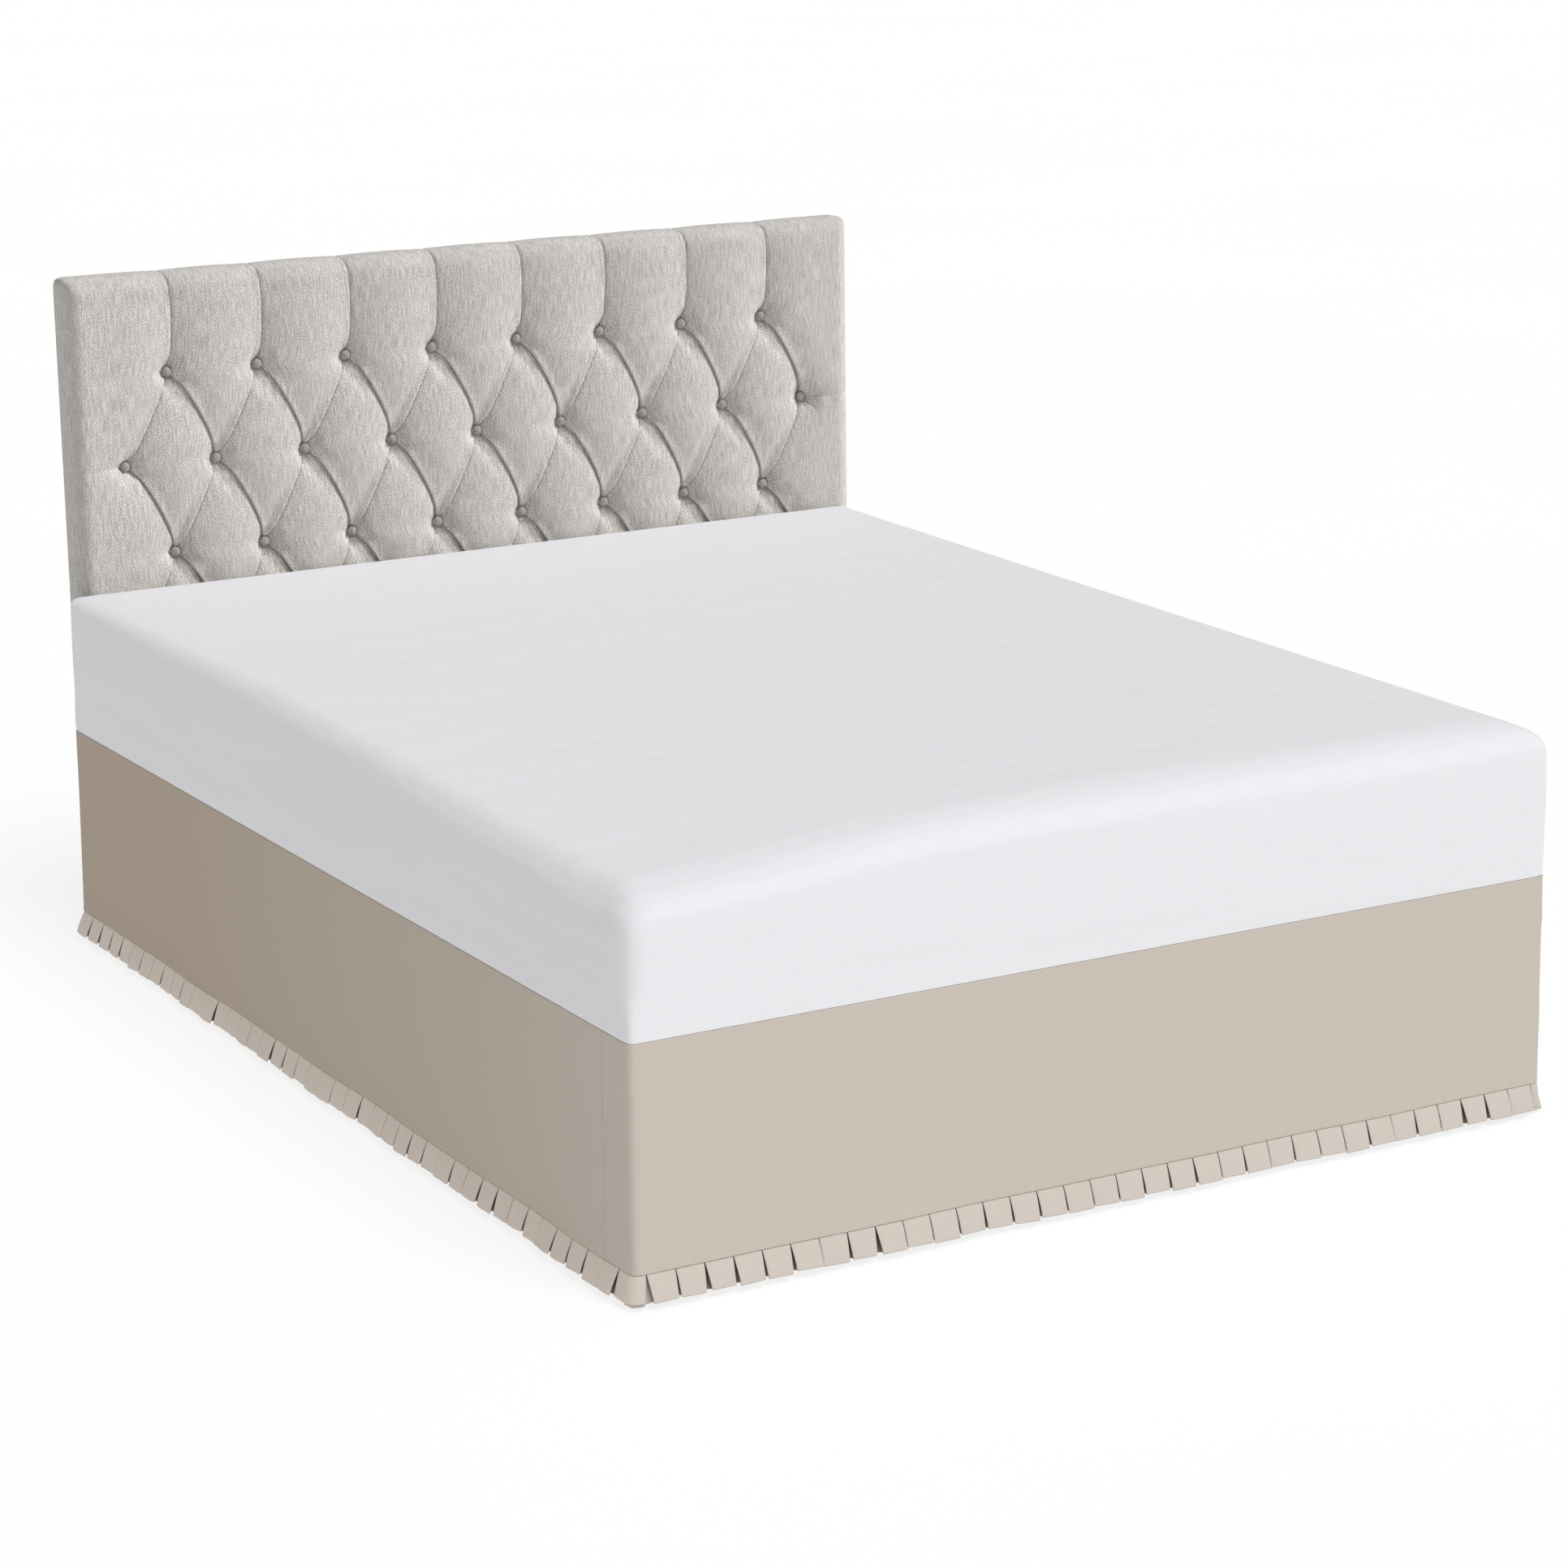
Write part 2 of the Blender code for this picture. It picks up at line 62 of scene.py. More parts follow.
# %% The camera
CAMERA_PLACE = Vector((-3.131, -5.638, 2.061))
CAMERA_TURN = math.radians(29.515)      # to the right of the bed's long direction
CAMERA_DIP = math.radians(14.577)       # below the horizon
CAMERA_ROLL = math.radians(-0.733)
CAMERA_LENS = 96.34                     # mm
SENSOR_WIDTH = 36.0


def show(name, data):
    """A new object at the origin that shows this data."""
    thing = bpy.data.objects.new(name, data)
    bpy.context.scene.collection.objects.link(thing)
    return thing


def make_camera():
    ahead = Vector((math.sin(CAMERA_TURN) * math.cos(CAMERA_DIP),
                    math.cos(CAMERA_TURN) * math.cos(CAMERA_DIP),
                    -math.sin(CAMERA_DIP)))
    level = Vector((math.cos(CAMERA_TURN), -math.sin(CAMERA_TURN), 0.0))
    upright = level.cross(ahead)
    right = math.cos(CAMERA_ROLL) * level + math.sin(CAMERA_ROLL) * upright
    up = math.cos(CAMERA_ROLL) * upright - math.sin(CAMERA_ROLL) * level
    camera = show("camera", bpy.data.cameras.new("camera"))
    camera.data.lens = CAMERA_LENS
    camera.data.sensor_width = SENSOR_WIDTH
    turned = Matrix((right, up, -ahead)).transposed().to_4x4()
    camera.matrix_world = Matrix.Translation(CAMERA_PLACE) @ turned
    bpy.context.scene.camera = camera


make_camera()
print("camera", round(CAMERA_PLACE.length, 2), "m from the bed's middle, lens", CAMERA_LENS, "mm")

# %% [markdown]
# ## Helpers for materials
# A material is a small network of nodes. Colours are written as the sRGB hex values that a screen
# shows, and one function turns them to the linear values that Blender computes with. One more function
# adds a node with its settings, and links an input if it is given the output of another node. Most
# nodes are used for one output only, their first, so a second function gives just that.

# %% Helpers for materials
def linear(hex_colour):
    """An sRGB colour such as "#CFC5B9" as the linear RGBA that shaders use."""
    parts = [int(hex_colour[k:k + 2], 16) / 255 for k in (1, 3, 5)]
    return (*[c / 12.92 if c <= 0.04045 else ((c + 0.055) / 1.055) ** 2.4 for c in parts], 1.0)


def add_node(tree, kind, inputs=None, **settings):
    """A new node with its settings; an input is a value or another node's output."""
    node = tree.nodes.new(kind)
    for name, value in settings.items():
        setattr(node, name, value)
    for name, value in (inputs or {}).items():
        if isinstance(value, bpy.types.NodeSocket):
            tree.links.new(value, node.inputs[name])
        else:
            node.inputs[name].default_value = value
    return node


def made_by(tree, kind, inputs=None, **settings):
    """What a new node gives: its first output."""
    return add_node(tree, kind, inputs, **settings).outputs[0]


def new_material(name, roughness, ior=1.5, shine=0.5, sheen=0.0):
    """An empty material with its shader, whose constant values are set on the shader itself."""
    material = bpy.data.materials.new(name)
    material.use_nodes = True
    shader = material.node_tree.nodes["Principled BSDF"]
    shader.inputs["Roughness"].default_value = roughness
    shader.inputs["IOR"].default_value = ior
    shader.inputs["Specular IOR Level"].default_value = shine
    shader.inputs["Sheen Weight"].default_value = sheen
    return material, material.node_tree, shader


# %% [markdown]
# ## Threads
# Woven cloth is two sets of threads that cross. Spun yarn is never even: it has short thick places
# called slubs, so a cloth looks like fine streaks along and across. A noise texture that is squeezed
# in one direction draws such streaks. Its sizes are in metres, because every cloth piece below has a
# UV map named "cloth" that is laid out in metres along the real threads. A weave is an even mix of
# upright streaks, the warp, and level ones, the weft.

# %% Threads
CLOTH_MAP = "cloth"


def noise(tree, place, scale, detail=2.0):
    """Noise around 0.5 that reads a place, scaled in each direction."""
    scaled = made_by(tree, "ShaderNodeMapping", {"Vector": place, "Scale": scale})
    return made_by(tree, "ShaderNodeTexNoise", {"Vector": scaled, "Scale": 1.0, "Detail": detail})


def cloth_place(tree):
    return made_by(tree, "ShaderNodeUVMap", uv_map=CLOTH_MAP)


def object_place(tree):
    return add_node(tree, "ShaderNodeTexCoord").outputs["Object"]


def streaks(tree, across, along, upright, detail=2.0):
    """Noise in streaks this many metres across and along, upright or level."""
    scale = (1 / across, 1 / along, 1.0) if upright else (1 / along, 1 / across, 1.0)
    return noise(tree, cloth_place(tree), scale, detail)


def blend_values(tree, first, second, share=0.5):
    return made_by(tree, "ShaderNodeMix", {0: share, 2: first, 3: second}, data_type="FLOAT")


def spread(tree, value, low, high, to_low=0.0, to_high=1.0):
    """Stretches a value's range from low..high to to_low..to_high."""
    return made_by(tree, "ShaderNodeMapRange", {"Value": value, "From Min": low, "From Max": high,
                                                "To Min": to_low, "To Max": to_high})


def threads(tree, width, warp, weft):
    """A weave: threads this wide, with slubs this long in the warp and in the weft."""
    return blend_values(tree, streaks(tree, width, warp, True), streaks(tree, width, weft, False))


def blend_colours(tree, share, first, second):
    mix = add_node(tree, "ShaderNodeMix", {0: share, 6: first, 7: second}, data_type="RGBA")
    return mix.outputs[2]


def paint(tree, shader, share, darker, lighter):
    """Colours the shader between two tones; a share of 0 is the darker one."""
    colour = blend_colours(tree, share, linear(darker), linear(lighter))
    tree.links.new(colour, shader.inputs["Base Color"])


def add_bump(tree, shader, height, distance):
    bump = made_by(tree, "ShaderNodeBump", {"Height": height, "Distance": distance})
    tree.links.new(bump, shader.inputs["Normal"])


# %% [markdown]
# ## Taupe cotton
# The skirt is a plain-woven cotton and polyester cloth, dyed taupe, pressed and smooth. It is matt:
# its round threads scatter what little they mirror, so the mirror part is turned well down. Its
# threads are 0.3 mm apart, far too fine to show here, so they are drawn 1.1 mm wide and faint. The
# pleated band is the same cloth, drawn a little paler. Inside its folds it looks darker, because
# little light gets in; the band carries a value for each point that says how deep in a fold it lies,
# and its material mixes in a dark brown by that value. The smooth panels get painted shade along the
# sides: toward the head their colour grows warmer and darker, for the weaker light there.

# %% Taupe cotton
FOLD_DEPTH = "fold depth"
PAINTED_SHADE_FROM, PAINTED_SHADE_TO = -1.045, 0.6        # the painted shade grows between these places along the bed


def taupe_cotton(name, darker, lighter, in_folds=None, painted_shade_at_head=None):
    material, tree, shader = new_material(name, 0.88, shine=0.15, sheen=0.03)
    weave = threads(tree, 0.0011, 0.030, 0.024)
    clouds = streaks(tree, 0.12, 0.30, upright=False, detail=1.0)
    shade = blend_values(tree, spread(tree, weave, 0.32, 0.68), spread(tree, clouds, 0.3, 0.7), 0.18)
    colour = blend_colours(tree, shade, linear(darker), linear(lighter))
    # Painted shade: toward the head the colour is mixed toward a warmer, darker one, for the weaker
    # light there.
    if painted_shade_at_head:
        place = add_node(tree, "ShaderNodeSeparateXYZ", {"Vector": object_place(tree)})
        along_bed = spread(tree, place.outputs["Y"], PAINTED_SHADE_FROM, PAINTED_SHADE_TO)
        share = made_by(tree, "ShaderNodeMath", {0: along_bed, 1: 0.6}, operation="POWER")
        colour = blend_colours(tree, share, colour, linear(painted_shade_at_head))
    if in_folds:
        depth = add_node(tree, "ShaderNodeAttribute", attribute_name=FOLD_DEPTH)
        colour = blend_colours(tree, depth.outputs["Fac"], colour, linear(in_folds))
    tree.links.new(colour, shader.inputs["Base Color"])
    add_bump(tree, shader, weave, distance=0.00012)
    return material


# The panels' cloth, with painted shade toward the head.
TAUPE = taupe_cotton("taupe cotton percale", "#C9BFB4", "#CEC5BB", painted_shade_at_head="#B7A999")
TAUPE_BAND = taupe_cotton("taupe cotton, pressed band", "#CBC1B8", "#D1C8BF", in_folds="#564B43")
print("materials:", TAUPE.name, "|", TAUPE_BAND.name)

# %% [markdown]
# ## White percale
# The fitted sheet is bleached cotton percale: bright, matt and almost without a pattern. White cotton
# reflects about four fifths of the light. A faint bump of its threads keeps it from looking like
# plaster when seen close, and a broad one, in long soft streaks, is the slack of the stretched cloth.

# %% White percale
SHEET_RELIEF = 0.0045           # metres, from the lowest to the highest of the soft streaks
THREAD_RELIEF = 0.00008


def white_percale():
    material, tree, shader = new_material("white cotton percale", 0.85, shine=0.2, sheen=0.05)
    weave = threads(tree, 0.0010, 0.040, 0.030)
    paint(tree, shader, spread(tree, weave, 0.3, 0.7), "#E9E9ED", "#EEEEF1")
    slack = streaks(tree, 0.09, 0.40, upright=False, detail=3.0)
    fine = spread(tree, weave, 0.0, 1.0, 0.0, THREAD_RELIEF / SHEET_RELIEF)
    relief = blend_values(tree, fine, slack)
    add_bump(tree, shader, relief, distance=2 * SHEET_RELIEF)
    return material


WHITE = white_percale()
print("material:", WHITE.name)

# %% [markdown]
# ## Heathered linen
# The headboard is covered in a linen-look upholstery cloth. Light and darker grey fibres are spun
# together, which gives a heathered colour. Its yarns are coarse and uneven, and where one lies over
# another it stands up as a small bead, so the cloth looks grainy, with short upright streaks. Real
# yarns are about 1 mm apart; the beads are drawn 4 mm apart, so that they show at this distance. They
# come from two waves, one across and one up. Where both are high or both are low there is a bead, and
# noise moves the waves about, so that no two beads are alike.

# %% Heathered linen
BEAD_PITCH = (0.0043, 0.0037)       # across and up


def bead_weave(tree):
    split = add_node(tree, "ShaderNodeSeparateXYZ", {"Vector": cloth_place(tree)})
    waves = []
    for axis, pitch, upright in (("X", BEAD_PITCH[0], True), ("Y", BEAD_PITCH[1], False)):
        turns = made_by(tree, "ShaderNodeMath", {0: split.outputs[axis], 1: 2 * math.pi / pitch},
                        operation="MULTIPLY")
        wander = spread(tree, streaks(tree, 0.006, 0.011, upright), 0.0, 1.0, -7.0, 7.0)
        moved = made_by(tree, "ShaderNodeMath", {0: turns, 1: wander}, operation="ADD")
        waves.append(made_by(tree, "ShaderNodeMath", {0: moved}, operation="SINE"))
    both = made_by(tree, "ShaderNodeMath", {0: waves[0], 1: waves[1]}, operation="MULTIPLY")
    return spread(tree, both, -1.0, 1.0)


def heathered_linen(name, darker, lighter):
    material, tree, shader = new_material(name, 0.92, shine=0.2, sheen=0.06)
    grain = spread(tree, streaks(tree, 0.0017, 0.0026, upright=True), 0.3, 0.7)
    beads = blend_values(tree, bead_weave(tree), grain)
    slubs = streaks(tree, 0.0026, 0.030, upright=True)
    mixed = blend_values(tree, beads, spread(tree, slubs, 0.3, 0.7), 0.26)
    paint(tree, shader, spread(tree, mixed, 0.36, 0.64), darker, lighter)
    add_bump(tree, shader, beads, distance=0.0010)
    return material


LINEN = heathered_linen("heathered grey linen", "#ADA8A2", "#E4E0DC")
# The buttons' linen is a darker copy of the pad's: painted shade, for the shade that the puffs cast on
# them.
SHADED_BUTTON_LINEN = heathered_linen("heathered grey linen with painted shade, for buttons", "#85807A", "#B9B4AE")
print("materials:", LINEN.name, "|", SHADED_BUTTON_LINEN.name)

# %% [markdown]
# ## Finishes that hardly show
# The deck under the mattress is thin white polyester, the base is covered in a grey woven cloth, and
# the legs are beech with a dark lacquer. The base and the legs keep their CAD shapes, which have no UV
# map, so these two materials read the object's own coordinates, which are metres too.

# %% Finishes that hardly show
def deck_polyester():
    material, tree, shader = new_material("white polyester deck cloth", 0.7, ior=1.57)
    weave = threads(tree, 0.0012, 0.02, 0.02)
    paint(tree, shader, spread(tree, weave, 0.3, 0.7), "#DADAD8", "#E6E6E4")
    add_bump(tree, shader, weave, distance=0.0001)
    return material


def base_cover():
    material, tree, shader = new_material("grey woven base cover", 0.9, sheen=0.1)
    weave = noise(tree, object_place(tree), (700.0, 700.0, 700.0))
    paint(tree, shader, spread(tree, weave, 0.3, 0.7), "#A9A7A3", "#BEBCB8")
    add_bump(tree, shader, weave, distance=0.0004)
    return material


def lacquered_beech():
    material, tree, shader = new_material("dark lacquered beech", 0.32)
    shader.inputs["Coat Weight"].default_value = 0.4
    shader.inputs["Coat Roughness"].default_value = 0.15
    grain = noise(tree, object_place(tree), (240.0, 240.0, 9.0), detail=4.0)
    paint(tree, shader, spread(tree, grain, 0.35, 0.65), "#2E2019", "#4A3427")
    add_bump(tree, shader, grain, distance=0.0002)
    return material


DECK_CLOTH, BASE_COVER, BEECH = deck_polyester(), base_cover(), lacquered_beech()
print("materials:", DECK_CLOTH.name, "|", BASE_COVER.name, "|", BEECH.name)

# %% [markdown]
# ## Making a piece
# Every piece below is a mesh whose points are worked out in the frame's own metres, so its object
# stays at the origin. The points come as arrays, because numpy places a hundred thousand points at
# once. A piece then rides on the bed's one body, and the CAD solids that it stands for are hidden.

# %% Making a piece
def new_shape(name, points, edges=(), faces=()):
    """A mesh object of points and the edges or faces that join them."""
    mesh = bpy.data.meshes.new(name)
    mesh.from_pydata(points, edges, faces)
    return show(name, mesh)


def lay_cloth(mesh, corners):
    """The UV map in metres: one pair for each corner of each face."""
    layer = mesh.uv_layers.get(CLOTH_MAP) or mesh.uv_layers.new(name=CLOTH_MAP)
    layer.data.foreach_set("uv", np.asarray(corners, np.float32).ravel())


def make_piece(name, points, faces, material, uv=None):
    """A smooth-shaded mesh object with its cloth laid out flat."""
    piece = new_shape(name, points.tolist(), faces=faces)
    piece.data.materials.append(material)
    piece.data.shade_smooth()
    if uv is not None:
        lay_cloth(piece.data, uv)
    return piece


def cad_box(node):
    return [np.array(corner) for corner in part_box(node)]


def bake_modifiers(piece):
    """Turns what the modifiers make into the piece's own mesh."""
    bpy.context.view_layer.update()
    evaluated = piece.evaluated_get(bpy.context.evaluated_depsgraph_get())
    made = bpy.data.meshes.new_from_object(evaluated)
    piece.modifiers.clear()
    old, piece.data = piece.data, made
    bpy.data.meshes.remove(old)
    piece.data.name = piece.name


def settle(piece, slot, *nodes):
    """The last step of a piece: its body, and hiding the solids that it stands for. The slot is not
    used.
    """
    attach(piece, "root")
    if nodes:
        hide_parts(*nodes)
    corners = [len(face.vertices) for face in piece.data.polygons]
    print(f"{piece.name}: {sum(corners) - 2 * len(corners)} triangles")


# %% [markdown]
# ## The line that the skirt follows
# The whole skirt can be described by three numbers for each point: how far along its seam it is,
# counted from the head end on the left, round the foot, to the head end on the right; how far it
# stands out; and how high it is. The bed is the same on both sides, so one half is worked out and
# the other is mirrored.

# %% The line that the skirt follows
BED_WIDTH = 1.520
BED_LENGTH = 2.030
DECK_TOP = 0.367                # the mattress meets the skirt here
SEAM_HEIGHT = 0.048             # seam between the panels and the pleated band
HEM_HEIGHT = 0.011
SKIRT_INSET = 0.0017            # middle of the panel's cloth, inside the mattress's side
CORNER_RADIUS = 0.016
CORNER_POWER = 3.4              # a power above 2 makes the corner tighter than a circle's
HEAD_MARGIN = 0.002             # side panels end short of the mattress's head end
SEAM_FROM_CORNER = 0.078        # the foot panel turns the corner by this much
BED_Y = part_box("mattress")[0].y + BED_LENGTH / 2
FOOT_Y = BED_Y - BED_LENGTH / 2
HEAD_Y = BED_Y + BED_LENGTH / 2
SKIRT_X = BED_WIDTH / 2 - SKIRT_INSET
SKIRT_FOOT_Y = FOOT_Y + SKIRT_INSET
SKIRT_HEAD_Y = HEAD_Y - HEAD_MARGIN
SIDE_LENGTH = SKIRT_HEAD_Y - SKIRT_FOOT_Y - CORNER_RADIUS
ARC_LENGTH = CORNER_RADIUS * math.pi / 2
SKIRT_LENGTH = 2 * (SIDE_LENGTH + ARC_LENGTH + SKIRT_X - CORNER_RADIUS)
LEFT_SEAM = SIDE_LENGTH + CORNER_RADIUS - SEAM_FROM_CORNER
RIGHT_SEAM = SKIRT_LENGTH - LEFT_SEAM


def along_skirt(distance, outward, height):
    """Points this far along the skirt's seam, this far out from it and this high."""
    on_right = distance > SKIRT_LENGTH / 2
    run = np.where(on_right, SKIRT_LENGTH - distance, distance)
    turn = np.clip((run - SIDE_LENGTH) / CORNER_RADIUS, 0.0, math.pi / 2)
    fuller = (np.cos(turn) ** CORNER_POWER + np.sin(turn) ** CORNER_POWER) ** (-1 / CORNER_POWER)
    reach = (CORNER_RADIUS + outward) * fuller
    x = -SKIRT_X + CORNER_RADIUS - reach * np.cos(turn)
    x = x + np.maximum(0.0, run - SIDE_LENGTH - ARC_LENGTH)
    y = SKIRT_FOOT_Y + CORNER_RADIUS - reach * np.sin(turn) + np.maximum(0.0, SIDE_LENGTH - run)
    return np.stack((np.where(on_right, -x, x), y, height), axis=-1)


print(f"skirt seam {SKIRT_LENGTH:.3f} m long, side panels {LEFT_SEAM:.3f} m")

# %% [markdown]
# ## A sheet from a grid of points
# A hanging cloth is a grid: columns along the seam, rows down the drop. The function below joins such
# a grid with four-sided faces, gives it a UV map in metres of cloth, and lets the Solidify modifier
# give it the cloth's thickness.

# %% A sheet from a grid of points
def smooth_step(low, high, value):
    share = np.clip((value - low) / (high - low), 0.0, 1.0)
    return share * share * (3.0 - 2.0 * share)


def wave(distance, length, start=0.0):
    return np.sin(2 * math.pi * distance / length + start)


def bump_at(value, centre, width):
    """A soft bump of height 1 at the centre."""
    return np.exp(-((value - centre) / width) ** 2)


def make_sheet(name, grid, cloth_map, thickness, material, fold_depth=None):
    """A cloth sheet from points grid[column, row] and its flat layout cloth_map[column, row]."""
    columns, rows = grid.shape[:2]
    number = np.arange(columns * rows).reshape(columns, rows)
    faces = np.stack((number[:-1, :-1], number[:-1, 1:], number[1:, 1:], number[1:, :-1]), -1)
    faces = faces.reshape(-1, 4)
    uv = cloth_map.reshape(-1, 2)[faces.ravel()]
    piece = make_piece(name, grid.reshape(-1, 3), faces.tolist(), material, uv)
    if fold_depth is not None:
        values = piece.data.attributes.new(FOLD_DEPTH, "FLOAT", "POINT")
        values.data.foreach_set("value", fold_depth.astype(np.float32).ravel())
    solid = piece.modifiers.new("cloth thickness", "SOLIDIFY")
    solid.thickness = thickness
    solid.offset = 0.0
    bake_modifiers(piece)
    return piece


print("sheet maker ready")

# %% [markdown]
# ## The drop panels
# A tailored panel hangs nearly flat. What shows it is cloth is small: slow waves that grow toward the
# hem, fine puckers where it is sewn to the pleated band, a welt where the seam's turned edge lies
# behind it, and gathers beside the upright seams at the foot corners. These are soft ridges and
# troughs of known size, so they are placed by formula and not by a simulation.

# %% The drop panels
PANEL_CLOTH = 0.0012
PANEL_FLARE = 0.003
PANEL_WAVE = 0.0022
TOP_PRESSED_OUT = 0.0007        # the deck's edge keeps the panel's top level with the mattress
COLUMN_STEP = 0.0036
SEAM_TURN = 0.0016              # the cloth turns inwards over this much at an upright seam
PUCKER = 0.0010                 # height of the puckers above the band
WELT = 0.0003                   # the turned edge behind the panel's hem lifts it by this much
SIDE_HEM = 0.026                # turned hem at the head end of the side panels
SEAM_GROOVE = 0.0011            # depth of the fine groove where two panels meet
DENT = 0.0004                   # how far stitches press the cloth in, or it stands up beside them
HALF_FIT = 0.00015              # the panels nearly touch at the upright seams
PANEL_ROWS = np.concatenate(((0.0, 0.004, 0.012), np.linspace(0.03, 0.82, 16),
                             np.linspace(0.84, 0.996, 16), (1.0,)))

# Soft folds near the upright seams, in metres: how far from the seam their middle is and how high,
# their width, their lean, their length and how far they rise
CORNER_FOLDS = ((-0.012, 0.066, 0.0050, 0.45, 0.026, 0.0019),
                (0.010, 0.072, 0.0055, -0.60, 0.030, 0.0016),
                (0.026, 0.062, 0.0050, -0.90, 0.018, 0.0010),
                (-0.030, 0.062, 0.0065, 0.80, 0.020, 0.0010),
                (0.100, 0.110, 0.0140, -0.50, 0.060, 0.0010),
                (0.060, 0.320, 0.0100, -0.90, 0.045, 0.0010))


def panel_hang(distance, down):
    """How far the panel stands out: the CAD panel's own flare and slow waves."""
    waves = 0.6 * wave(distance, 0.46, 0.8) + 0.4 * wave(distance, 0.27, 2.1)
    return PANEL_FLARE * down + PANEL_WAVE * waves * down * down


def puckers(distance):
    """Uneven ripples along a sewn seam, from -1 to 1."""
    ripple = wave(distance, 0.0173, 1.4 * wave(distance, 0.117))
    strength = 0.55 + 0.45 * wave(distance, 0.63, 0.5)
    return (0.6 * ripple + 0.4 * wave(distance, 0.0251, 0.9)) * strength


def seam_folds(distance, height):
    """The soft folds that gather beside the upright seams."""
    total = np.zeros_like(distance)
    for seam, way in ((LEFT_SEAM, 1.0), (RIGHT_SEAM, -1.0)):
        for beside, middle, width, lean, long, rise in CORNER_FOLDS:
            up = height - middle
            off = way * (distance - seam) - beside - lean * up
            total += rise * bump_at(off, 0.0, width) * bump_at(up, 0.0, long)
    return total


def panel_out(distance, height):
    """The panel's whole shape, the fine parts added to the CAD panel's."""
    down = (DECK_TOP - height) / (DECK_TOP - SEAM_HEIGHT)
    above = height - SEAM_HEIGHT
    out = panel_hang(distance, down) + TOP_PRESSED_OUT * bump_at(down, 0.0, 0.25)
    out += seam_folds(distance, height) * smooth_step(0.0, 0.012, above)
    out += PUCKER * puckers(distance) * np.exp(-above / 0.012) * smooth_step(0.0, 0.004, above)
    out += WELT * bump_at(above, 0.0045, 0.0035)
    return out


print("folds beside each upright seam:", len(CORNER_FOLDS))

# %% [markdown]
# ## Cutting and sewing the panels
# The three panels are made from the same shape, each between its own two ends. At an upright seam
# both edges curl in and leave a fine groove. At the head end the side panels have a turned, stitched
# hem, which the thread presses in a little.

# %% Cutting and sewing the panels
def panel_columns(start, end):
    """Places along the seam, closer together at both ends where the edge turns inwards."""
    edge = SEAM_TURN * np.array((0.0, 0.35, 0.7, 1.0, 1.8))
    count = round((end - start - 2 * edge[-1]) / COLUMN_STEP)
    inner = np.linspace(start + edge[-1], end - edge[-1], count + 1)
    return np.concatenate((start + edge[:-1], inner, (end - edge[:-1])[::-1]))


def make_panel(side, start, end):
    distance, down = np.meshgrid(panel_columns(start, end), PANEL_ROWS, indexing="ij")
    height = DECK_TOP - (DECK_TOP - SEAM_HEIGHT) * down
    out = panel_out(distance, height)
    for edge in (start, end):
        from_edge = np.abs(distance - edge)
        if 0.0 < edge < SKIRT_LENGTH:           # an upright seam, whose edges curl in
            out -= SEAM_GROOVE * (1.0 - np.sqrt(np.clip(from_edge / SEAM_TURN, 0.0, 1.0)))
            out += DENT * bump_at(from_edge, 0.0032, 0.0018)
        else:                                   # a stitched hem at the head end
            out -= DENT * bump_at(from_edge, SIDE_HEM, 0.0016)
    grid = along_skirt(distance, out, height)
    cloth_map = np.stack((distance, height), -1)
    piece = make_sheet(f"{side}_drop_panel", grid, cloth_map, PANEL_CLOTH, TAUPE)
    settle(piece, "taupe_cotton", f"panel_{side}")


make_panel("left", 0.0, LEFT_SEAM - HALF_FIT)
make_panel("foot", LEFT_SEAM + HALF_FIT, RIGHT_SEAM - HALF_FIT)
make_panel("right", RIGHT_SEAM + HALF_FIT, SKIRT_LENGTH)

# %% [markdown]
# ## The pleated band
# A box pleat is made by folding the strip back under itself on both sides. From above, the strip runs
# like a flattened S: across the front of a tab, round a sharp fold, back behind it, round another fold
# and on under the gap to the next tab. Below the seam nothing holds the folds, so each tab swings out
# and the gaps between them open as they like. The table of marks gives each run of the strip its two
# ends, and the layer says how deep it lies.

# %% The folded line of the band
PLEAT_GAP = 0.0008              # half the gap between two tabs at the seam
PLEAT_DEPTH = 0.0019            # from layer to layer
UNDERLAY_SHARE = 0.36           # the fold runs under a tab by this share of its width
CORNER_TAB = 0.048
SEAM_TAB = 0.040
GAP_OPENING = {"c": 0.0, "l": 0.0012, "n": 0.0030, "m": 0.0050, "w": 0.0080}
FOOT_GAPS = "l" "wnwmmmcmwc" "cnnnnlnlnn" "nlnllllncl" "lwwcn" "l"
LEFT_GAPS = "lwwwwcnccw" "ccwccnlnwn" "ccccncccwc" "cmnmmnnlmm" "m"
INNER_LEFT, LEFT, RIGHT, INNER_RIGHT, NEXT = range(5)


def tab_widths(start, end, gaps, ends):
    """The widths of a band's tabs: those near a foot corner are given, the rest share alike."""
    count = len(gaps) + 1
    plain = (end - start - 2 * sum(ends)) / (count - 2 * len(ends))
    return np.array([ends[min(k, count - 1 - k)] if min(k, count - 1 - k) < len(ends) else plain
                     for k in range(count)])


